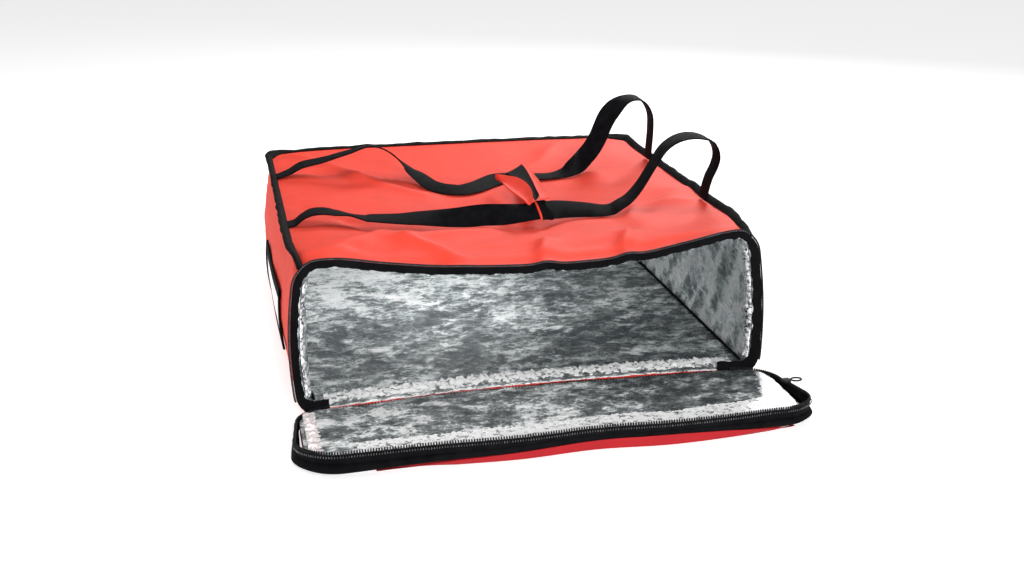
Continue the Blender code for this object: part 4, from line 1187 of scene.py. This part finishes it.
def make_flap_rim():
    """Red cloth that turns up over the foot of the flap's wall, in the darker red of painted shade."""
    rings = []
    for place, outward, size in flap_wall_frames():
        left = clamp((place.x + HALF_FLAP * 0.75) / (HALF_FLAP * 0.9))
        right = clamp((HALF_FLAP * 0.92 - place.x) / (HALF_FLAP * 0.30))
        shown = left * right
        if outward.y > -0.5 or shown == 0:
            continue
        low = max(size["low"], GAP)
        foot = lerp(low, GAP, min(3 * shown, 1))
        rise = low + FLAP_RIM * shown * (1 + 0.5 * waver(place.x / 0.07, 2))
        out = 0.5 * size["seam_out"] + FLAP_WALL + GAP
        risen = min(rise / max(size["belly"], GAP), 1)
        over = lerp(out, size["belly_out"] + FLAP_WALL, risen) + 0.0007
        section = (
            (out - 0.0012, foot),
            (out + 0.0004, foot),
            (lerp(out, over, 0.6) + 0.0010, lerp(foot, rise, 0.6)),
            (over, rise),
            (over - 0.0012, rise),
        )
        rings.append([at_section(place, outward, *point) for point in section])
    make_sweep("flap_rim", rings, "shaded_red")


def flap_wall_sections(size, wobble):
    """Outer line of the flap's wall and line of the zip tape on it, as distances out and heights."""
    foot = max(size["low"], GAP)
    seam_out, seam_height = size["seam_out"], size["seam"]
    belly_out, belly_height = size["belly_out"], size["belly"]
    wall = (
        (0.5 * seam_out + FLAP_WALL, foot),
        (0.5 * (0.5 * seam_out + belly_out) + FLAP_WALL * 1.6, 0.5 * (foot + belly_height)),
        (belly_out + FLAP_WALL + wobble, belly_height),
        (0.5 * (belly_out + seam_out) + FLAP_WALL * 1.5, 0.45 * belly_height + 0.55 * seam_height),
        (seam_out + FLAP_WALL + GAP, seam_height),
    )
    tape = []
    for share, swell in ((0, 1), (0.35, 1.5), (0.7, 1.3), (1, 1)):
        out = lerp(seam_out + GAP, size["rim_out"] + wobble * 0.5, share)
        tape.append((out, lerp(seam_height + GAP, size["rim"], share), FLAP_WALL * swell))
    return wall, tape


def make_flap_wall():
    """Standing wall of the flap with its zip tape, teeth and stitches."""
    gusset = []
    tape = []
    line = []
    outs = []
    for index, (place, outward, size) in enumerate(flap_wall_frames()):
        wall, rows = flap_wall_sections(size, 0.0008 * waver(index / 5, 1, 4))
        ring = [at_section(place, outward, out, height) for out, height in wall]
        ring += [at_section(place, outward, out - FLAP_WALL, height) for out, height in reversed(wall)]
        gusset.append(ring)
        ring = [at_section(place, outward, out + thick, height) for out, height, thick in rows]
        ring += [at_section(place, outward, out, height) for out, height, _ in reversed(rows)]
        tape.append(ring)
        out, height, _ = rows[-1]
        line.append(at_section(place, outward, out + FLAP_WALL / 2, height + GAP + COIL / 2))
        outs.append(outward)
    make_sweep("flap_side", gusset, "tape", ("flap_gusset",))
    make_sweep("flap_tape", tape, "tape", ("flap_zip_tape",))
    spots = spots_along(line, outs, TOOTH_PITCH)
    teeth = [(spot, along, outward, UP) for spot, along, outward in spots]
    make_blocks("flap_teeth", teeth, (TOOTH_PITCH * 0.5, COIL, TOOTH_HEIGHT), "coil", ("flap_zip_teeth",))
    drop = UP * 0.0034
    out = FLAP_WALL * 0.5 + 0.0012
    stitches = [(spot + outward * out - drop, along, outward, UP) for spot, along, outward in spots]
    make_blocks("flap_stitches", stitches, (TOOTH_PITCH * 0.22, 0.0008, 0.0018), "dull_thread")


def make_flap():
    """Padded flap with its foil; its red cloth takes the darker red of painted shade."""
    panel = make_slab("flap_cloth", flap_grid(flap_height), flap_grid(no_height), "shaded_red", ("flap_panel",))
    low = flap_grid(flap_height, GAP, GAP)
    high = []
    for row in low:
        line = []
        for point in row:
            rim = min(HALF_FLAP - abs(point.x), point.y - FLAP_FRONT)
            fade = min(max(rim / 0.010, 0.2), 1)
            line.append(point + UP * (FOIL * 0.5 + (crinkle(point) - FOIL * 0.5) * fade))
        high.append(line)
    sheet = make_slab("flap_foil", high, low, "flap_foil", ("flap_lining",))
    set_painted_light(sheet, flap_painted_light)
    edges = make_flap_borders()


# Section of the webbing: shares of half its width and of half its thickness
WEBBING_SECTION = ((-1, -0.6), (-0.94, -1), (0, -1.1), (0.94, -1), (1, -0.6),
                   (1, 0.6), (0.94, 1), (0, 1.1), (-0.94, 1), (-1, 0.6))


def make_handles():
    """Webbing handles."""
    for name, table in (("front", FRONT_HANDLE), ("rear", REAR_HANDLE)):
        rings = []
        for place, across, face in strap_frames(table):
            wide = across * WEBBING / 2
            deep = face * WEBBING_THICK / 2
            rings.append([place + wide * side + deep * off for side, off in WEBBING_SECTION])
        make_sweep(name + "_webbing", rings, "webbing", (name + "_handle",))


# Open grip: left and right edge of each row as shares of half the width and depth, and
# rise above the top as shares of the bag's height
GRIP_STRIP = (
    # x1, y1, rise1, x2, y2, rise2
    (0.300, 0.400, 0.052, 0.322, 0.368, 0.054),
    (0.264, 0.147, 0.089, 0.290, 0.126, 0.093),
    (0.218, -0.128, 0.146, 0.258, -0.114, 0.143),
    (0.182, -0.357, 0.191, 0.234, -0.317, 0.183),
    (0.166, -0.450, 0.196, 0.218, -0.430, 0.190),
)
GRIP_HOOKS = (
    (0.180, 0.336, 0.062, 0.296, 0.480, 0.060),
    (0.190, 0.250, 0.072, 0.296, 0.383, 0.060),
    (0.202, 0.054, 0.108, 0.263, 0.143, 0.096),
    (0.182, -0.162, 0.152, 0.218, -0.128, 0.150),
    (0.144, -0.439, 0.192, 0.182, -0.366, 0.195),
)
GRIP_PETAL = (
    (0.084, 0.150, 0.130, 0.080, 0.140, 0.126),
    (0.126, 0.044, 0.155, 0.080, -0.040, 0.140),
    (0.151, -0.074, 0.186, 0.083, -0.161, 0.150),
    (0.159, -0.218, 0.208, 0.088, -0.295, 0.170),
    (0.146, -0.367, 0.223, 0.089, -0.392, 0.186),
    (0.129, -0.468, 0.200, 0.096, -0.452, 0.186),
)


def ruled_grid(table, across, along, hollow, out):
    """Grid between the two edges of a table's rows, hollowed between them."""
    grid = []
    for x1, y1, rise1, x2, y2, rise2 in smooth_rows(table, along):
        row = []
        for share in np.linspace(0, 1, across):
            x = lerp(x1, x2, share) * HALF_WIDTH
            y = lerp(y1, y2, share) * HALF_DEPTH
            rise = lerp(rise1, rise2, share) - hollow * math.sin(math.pi * share)
            row.append(Vector((x, y, top_height(x, y) + rise * BAG_HEIGHT + out)))
        grid.append(row)
    return grid


# Sheets of the open grip: grid, hollow between its edges and height of its two faces
GRIP_SHEETS = (
    # name, table, across, along, hollow, high, low, look, replaced
    ("grip_cloth", GRIP_STRIP, 14, 70, 0.004, WRAP_THICK, 0, "red", ("handle_wrap",)),
    ("grip_hooks", GRIP_HOOKS, 16, 60, 0.006, 0.0002, -0.0012, "hooks", ("wrap_hook_strip",)),
    ("grip_petal", GRIP_PETAL, 18, 60, 0.030, 0.0016, 0.0002, "red", ()),
)
# Rolls of the grip round the front handle: ends as shares of half the width
GRIP_ROLLS = (
    # name, first, last, thickness, look
    ("grip_knot", 0.160, 0.214, 0.0028, "hooks"),
    ("grip_loop", 0.150, 0.163, 0.0022, "red"),
)


def make_wrap():
    """Open red grip with its hook strip, drawn round the front handle."""
    for name, table, across, along, hollow, high, low, look, nodes in GRIP_SHEETS:
        faces = [ruled_grid(table, across, along, hollow, out) for out in (high, low)]
        make_slab(name, *faces, look, nodes)
    frames = strap_frames(FRONT_HANDLE)
    for name, first, last, out, look in GRIP_ROLLS:
        rings = []
        near = [frame for frame in frames if first * HALF_WIDTH < frame[0].x < last * HALF_WIDTH]
        for index, (place, across, face) in enumerate(near):
            ring = []
            swell = 1 + 0.5 * math.sin(math.pi * index / max(len(near) - 1, 1))
            for turn in range(20):
                angle = 2 * math.pi * turn / 20
                rugged = 1 + 0.25 * waver(angle * 1.6, index / 3, out * 900)
                wide = WEBBING / 2 + out * 0.6 * rugged
                deep = WEBBING_THICK / 2 + out * swell * rugged
                ring.append(place + across * math.cos(angle) * wide + face * math.sin(angle) * deep)
            rings.append(ring)
        make_sweep(name, rings, look)


def new_material(name, colour, roughness, metallic=0.0):
    """Node material with its tree and shader."""
    made = bpy.data.materials.new(name)
    made.use_nodes = True
    shader = made.node_tree.nodes["Principled BSDF"]
    shader.inputs["Base Color"].default_value = (*colour, 1)
    shader.inputs["Roughness"].default_value = roughness
    shader.inputs["Metallic"].default_value = metallic
    made.diffuse_color = (*colour, 1)
    return made, made.node_tree, shader


def add_node(tree, kind, inputs, **settings):
    """Shader node with its settings; each input is a value or a link."""
    node = tree.nodes.new("ShaderNode" + kind)
    for name, value in settings.items():
        setattr(node, name, value)
    for name, value in inputs.items():
        if isinstance(value, bpy.types.NodeSocket):
            tree.links.new(value, node.inputs[name])
        else:
            node.inputs[name].default_value = value
    return node


def math_step(tree, kind, one, other=0.0):
    """Math node of two inputs, each a number or a socket."""
    return add_node(tree, "Math", {0: one, 1: other}, operation=kind).outputs[0]


def times(tree, one, other):
    """Product of two inputs."""
    return math_step(tree, "MULTIPLY", one, other)


def about_zero(tree, value, scale):
    """A value from 0 to 1 moved to lie about zero, and scaled."""
    return times(tree, math_step(tree, "SUBTRACT", value, 0.5), scale)


def stretched_place(tree, stretch=(1, 1, 1)):
    """Coordinates of the object, stretched along its axes."""
    source = tree.nodes.new("ShaderNodeTexCoord").outputs["Object"]
    return add_node(tree, "Mapping", {"Vector": source, "Scale": stretch}).outputs["Vector"]


def solid_noise(tree, size, detail=3.0, stretch=(1, 1, 1), roughness=0.5, bend=0.0):
    """Noise over the object with features of one size in metres."""
    inputs = {"Vector": stretched_place(tree, stretch), "Scale": 1 / size, "Detail": detail}
    inputs |= {"Roughness": roughness, "Distortion": bend}
    return add_node(tree, "TexNoise", inputs).outputs["Fac"]


def solid_cells(tree, size):
    """Distance to the edges of cells of one size in metres."""
    inputs = {"Vector": stretched_place(tree), "Scale": 1 / size}
    return add_node(tree, "TexVoronoi", inputs, feature="DISTANCE_TO_EDGE").outputs["Distance"]


def facets(tree, size, stretch):
    """Flat crumpled facets over the object, each with its own level from 0 to 1."""
    place = stretched_place(tree, stretch)
    bend = add_node(tree, "TexNoise", {"Vector": place, "Scale": 0.7 / size, "Detail": 2}).outputs["Color"]
    inputs = {0: bend, 1: (size, size, size), 2: place}
    moved = add_node(tree, "VectorMath", inputs, operation="MULTIPLY_ADD").outputs["Vector"]
    cells = add_node(tree, "TexVoronoi", {"Vector": moved, "Scale": 1 / size}).outputs["Color"]
    return add_node(tree, "SeparateXYZ", {0: cells}).outputs["X"]


def colour_ramp(tree, factor, stops):
    """Colour by a factor, through stops of a position and a colour."""
    ramp = add_node(tree, "ValToRGB", {"Fac": factor})
    elements = ramp.color_ramp.elements
    for element, (position, colour) in zip((elements[0], elements[1]), (stops[0], stops[-1])):
        element.position = position
        element.color = (*colour, 1)
    for position, colour in stops[1:-1]:
        elements.new(position).color = (*colour, 1)
    return ramp.outputs["Color"]


def colour_between(tree, shader, factor, dark, light, low=0.3, high=0.7):
    """Base colour between two colours."""
    colour = colour_ramp(tree, factor, ((low, dark), (high, light)))
    tree.links.new(colour, shader.inputs["Base Color"])


def value_between(tree, factor, low, high):
    """Value between two numbers by a factor from 0 to 1."""
    return add_node(tree, "MapRange", {"Value": factor, "To Min": low, "To Max": high}).outputs["Result"]


def add_bump(tree, shader, height, distance, strength=1.0, onto=None):
    """Bump of one depth in metres on a shader, over another bump if one is named."""
    inputs = {"Strength": strength, "Distance": distance, "Height": height}
    if onto is not None:
        inputs["Normal"] = onto
    normal = add_node(tree, "Bump", inputs).outputs["Normal"]
    tree.links.new(normal, shader.inputs["Normal"])
    return normal


def threads(tree, across_pitch, along_pitch):
    """Height of a plain weave."""
    place = add_node(tree, "UVMap", {}, uv_map="cloth").outputs["UV"]
    split = add_node(tree, "SeparateXYZ", {0: place})
    warp = math_step(tree, "SINE", times(tree, split.outputs["X"], 2 * math.pi / across_pitch))
    weft = math_step(tree, "SINE", times(tree, split.outputs["Y"], 2 * math.pi / along_pitch))
    return times(tree, warp, weft)


def woven_material(name, colour, roughness, shine, patch, dark, light, weave, wrinkles=None):
    """Woven cloth: patches of tone, and a weave over its wrinkles."""
    made, tree, shader = new_material(name, colour, roughness)
    colour_between(tree, shader, solid_noise(tree, patch, 4), dark, light)
    shader.inputs["Specular IOR Level"].default_value = shine
    below = None
    if wrinkles:
        size, depth, strength = wrinkles
        below = add_bump(tree, shader, solid_noise(tree, size, 3), depth, strength)
    across, along, depth, strength = weave
    add_bump(tree, shader, threads(tree, across, along), depth, strength, below)
    return made


def red_material(name, colour):
    """Coated red woven polyester over thin padding."""
    darker = tuple(0.90 * part for part in colour)
    weave = (0.0011, 0.0011, 0.00012, 0.6)
    return woven_material(name, colour, 0.62, 0.16, 0.035, darker, colour, weave, (0.006, 0.0004, 0.5))


def tape_material():
    """Black woven binding and zip tape."""
    colours = (0.0012, 0.0012, 0.0016), (0.0040, 0.0040, 0.0050)
    weave = (0.0010, 0.0008, 0.00012, 0.7)
    wrinkles = (0.009, 0.0008, 0.6)
    return woven_material("black_tape", (0.018, 0.018, 0.021), 0.75, 0.06, 0.012, *colours, weave, wrinkles)


def webbing_material():
    """Black handle webbing with its ribbed weave."""
    colours = (0.0015, 0.0015, 0.0020), (0.0050, 0.0055, 0.0070)
    weave = (0.0022, 0.0014, 0.0003, 0.8)
    return woven_material("black_webbing", (0.020, 0.021, 0.024), 0.7, 0.05, 0.010, *colours, weave)


def foil_material(name, stretch, painted_light_gain, lift=0.0, grit=1.0):
    """Crinkled metallised film whose base colour carries painted light: a ramp from dark grey to white,
    driven by the tone of each place and by noise, paints its highlights, glints and shade.
    """
    made, tree, shader = new_material(name, (0.5, 0.52, 0.54), 0.30, 0.35)
    # Painted light of each place, read from the tone attribute
    tone = add_node(tree, "Attribute", {}, attribute_name="tone").outputs["Fac"]
    patch = solid_noise(tree, 0.085, 3, stretch, 0.5, 0.4)
    crease = solid_noise(tree, 0.017, 10, stretch, 0.76, 0.2)
    fold = solid_noise(tree, 0.040, 6, stretch, 0.60, 0.5)
    grain = solid_noise(tree, 0.0035, 4, (1, 1, 1), 0.6)
    # Patches where the painted highlights of the crinkles cluster
    highlight_cluster = value_between(tree, solid_noise(tree, 0.050, 2, stretch), 0.5, 2.4)
    # Thin painted glints along the fold lines
    away = math_step(tree, "ABSOLUTE", math_step(tree, "SUBTRACT", fold, 0.5))
    near = math_step(tree, "SUBTRACT", 1.0, math_step(tree, "MINIMUM", times(tree, away, 28), 1.0))
    level = math_step(tree, "ADD", tone, 0.04 + lift)
    for part in (
        about_zero(tree, crease, times(tree, highlight_cluster, 1.9 * grit)),
        times(tree, near, 0.20),
        about_zero(tree, patch, 0.9),
        about_zero(tree, facets(tree, 0.016, stretch), 0.14),
        about_zero(tree, grain, 0.45 * grit),
    ):
        level = math_step(tree, "ADD", level, part)
    # Colour stops from dark grey painted shade to white painted highlights, scaled for each piece by its gain
    stops = [(0.18, [part * painted_light_gain for part in (0.045, 0.056, 0.062)])]
    for position, grey in ((0.40, 0.13), (0.56, 0.25), (0.70, 0.46)):
        value = min(grey * painted_light_gain, 0.98)
        stops.append((position, (value * 0.91, value * 0.985, value)))
    stops.append((0.84, (1.0, 1.0, 1.0)))
    tree.links.new(colour_ramp(tree, level, stops), shader.inputs["Base Color"])
    tree.links.new(value_between(tree, crease, 0.15, 0.40), shader.inputs["Roughness"])
    bumps = ((patch, 0.010, 0.6), (fold, 0.010, 0.8), (crease, 0.005, 0.7), (grain, 0.0007, 0.5))
    below = None
    for height, depth, strength in bumps:
        below = add_bump(tree, shader, height, depth, strength, below)
    return made


def bright_material(name, light, dark, size, shiny, share=0.36):
    """Turned foil edge: dark spots on a light colour; for the bright and edge films the white is a painted
    highlight.
    """
    made, tree, shader = new_material(name, light, 0.20, shiny)
    spots = solid_noise(tree, size, 5, (0.8, 1.0, 1), 0.65, 0.8)
    colour_between(tree, shader, spots, dark, light, share - 0.03, share + 0.07)
    folded = add_bump(tree, shader, solid_noise(tree, 0.006, 5, (1, 1, 1), 0.6), 0.0020, 0.7)
    add_bump(tree, shader, solid_cells(tree, 0.004), 0.0006, 0.4, folded)
    return made


def coil_material(name, dark, light):
    """Zip coil, or the paler thread that shows between its turns."""
    made, tree, shader = new_material(name, light, 0.60)
    colour_between(tree, shader, solid_noise(tree, 0.004, 2), dark, light)
    shader.inputs["Specular IOR Level"].default_value = 0.10
    return made


def hook_material():
    """Black hook strip."""
    made, tree, shader = new_material("hook_strip", (0.02, 0.02, 0.022), 0.7)
    tone = solid_noise(tree, 0.0015, 2)
    colour_between(tree, shader, tone, (0.0015, 0.0015, 0.002), (0.007, 0.007, 0.008))
    shader.inputs["Specular IOR Level"].default_value = 0.03
    add_bump(tree, shader, tone, 0.0008, 0.9)
    return made


def clear_material():
    """Clear flexible sleeve over a pale card."""
    made, tree, shader = new_material("clear_sleeve", (0.78, 0.79, 0.80), 0.12)
    tone = solid_noise(tree, 0.030, 3)
    colour_between(tree, shader, tone, (0.66, 0.68, 0.70), (0.86, 0.87, 0.88))
    shader.inputs["Coat Weight"].default_value = 0.6
    add_bump(tree, shader, tone, 0.002, 0.4)
    return made


LOOKS = {
    "red": red_material("red_polyester", (0.80, 0.056, 0.031)),
    # Darker copy of the red as painted shade, for the flap's cloth, its rim and the hinge strip
    "shaded_red": red_material("red_painted_shade", (0.34, 0.010, 0.014)),
    "tape": tape_material(),
    "webbing": webbing_material(),
    # Foil films with painted light: the gain and lift of each set how light its painted highlights and shade
    # are
    "foil": foil_material("foil_film", (0.8, 1.1, 1), 1.55, -0.01),
    "wall_foil": foil_material("wall_film", (1, 0.6, 0.9), 2.0, 0.05, 0.6),
    "flap_foil": foil_material("flap_film", (0.6, 0.9, 1), 1.05, -0.03, 1.2),
    # White films with dark spots: the white is a painted highlight of the turned foil
    "painted_highlight_foil": bright_material("painted_highlight_film", (1.0, 1.0, 1.0), (0.03, 0.03, 0.035), 0.005, 0.10, 0.40),
    "edge_highlight_foil": bright_material("edge_highlight_film", (0.95, 0.95, 0.96), (0.04, 0.04, 0.05), 0.005, 0.10, 0.46),
    "smooth_foil": bright_material("smooth_film", (0.56, 0.56, 0.57), (0.46, 0.46, 0.48), 0.020, 0.15),
    "pink_foil": bright_material("pink_film", (0.95, 0.86, 0.85), (0.55, 0.40, 0.40), 0.007, 0.35),
    "coil": coil_material("zip_plastic", (0.004, 0.004, 0.005), (0.016, 0.016, 0.018)),
    "thread": coil_material("zip_thread", (0.10, 0.10, 0.11), (0.30, 0.30, 0.31)),
    "dull_thread": coil_material("dull_thread", (0.02, 0.02, 0.022), (0.16, 0.16, 0.17)),
    "hooks": hook_material(),
    "clear": clear_material(),
}


def dress_nodes():
    """Materials of the CAD nodes that stay."""
    for name, look in (("zip_slider", "coil"), ("zip_pull", "tape")):
        node = frame["nodes"][name]
        node.data.materials.clear()
        node.data.materials.append(LOOKS[look])


def make_camera():
    """Camera at the photograph's viewing angle."""
    data = bpy.data.cameras.new("view")
    data.lens = LENS
    data.sensor_width = SENSOR
    camera = bpy.data.objects.new("view", data)
    bpy.context.collection.objects.link(camera)
    camera.location = CAMERA_PLACE
    aim = Vector((0.066 * BAG_WIDTH, 0, 0.055 * BAG_WIDTH))
    camera.rotation_euler = (aim - camera.location).to_track_quat("-Z", "Y").to_euler()
    bpy.context.scene.camera = camera


def make_light(name, place, aim, size, power):
    """Soft square light."""
    data = bpy.data.lights.new(name, "AREA")
    data.shape = "SQUARE"
    data.size = size
    data.energy = power
    light = bpy.data.objects.new(name, data)
    bpy.context.collection.objects.link(light)
    light.location = place
    light.rotation_euler = (Vector(aim) - Vector(place)).to_track_quat("-Z", "Y").to_euler()


LIGHTS = (
    # name, place, aim, size, power
    ("key", (0.9, 1.3, 1.1), (0, 0, 0.1), 0.5, 26),
    ("front", (0.1, -2.2, 0.75), (0, 0, 0.05), 0.8, 50),
    ("over", (-0.5, 0.7, 1.9), (0, 0, 0.1), 0.8, 12),
    ("side", (-1.7, 0.0, 0.9), (0, 0, 0.05), 0.8, 8),
    ("inside", (-0.06, 0.04, 0.122), (-0.07, 0.06, 0), 0.26, 0.36),
)


def make_stage():
    """Pale floor, soft lights and a pale surround."""
    mesh = bpy.data.meshes.new("floor")
    corners = [(x * FLOOR_REACH, y * FLOOR_REACH, 0) for x, y in ((-1, -1), (1, -1), (1, 1), (-1, 1))]
    mesh.from_pydata(corners, [], [(0, 1, 2, 3)])
    made, tree, shader = new_material("pale_floor", (0.55, 0.55, 0.55), 0.8)
    colour_between(tree, shader, solid_noise(tree, 0.6, 2), (0.54, 0.54, 0.54), (0.56, 0.56, 0.56))
    shader.inputs["Emission Color"].default_value = (1, 1, 1, 1)
    shader.inputs["Emission Strength"].default_value = 0.62
    mesh.materials.append(made)
    floor = bpy.data.objects.new("floor", mesh)
    bpy.context.collection.objects.link(floor)
    world = bpy.data.worlds.new("surround")
    world.use_nodes = True
    background = world.node_tree.nodes["Background"]
    background.inputs["Color"].default_value = (1, 1, 1, 1)
    background.inputs["Strength"].default_value = 0.36
    bpy.context.scene.world = world
    for light in LIGHTS:
        make_light(*light)
    bpy.context.scene.view_settings.view_transform = "Standard"


make_camera()
make_stage()
make_shell()
make_lining()
make_binding()
make_opening()
make_hinge()
make_flap()
make_flap_wall()
make_flap_rim()
make_handles()
make_wrap()
make_label()
dress_nodes()
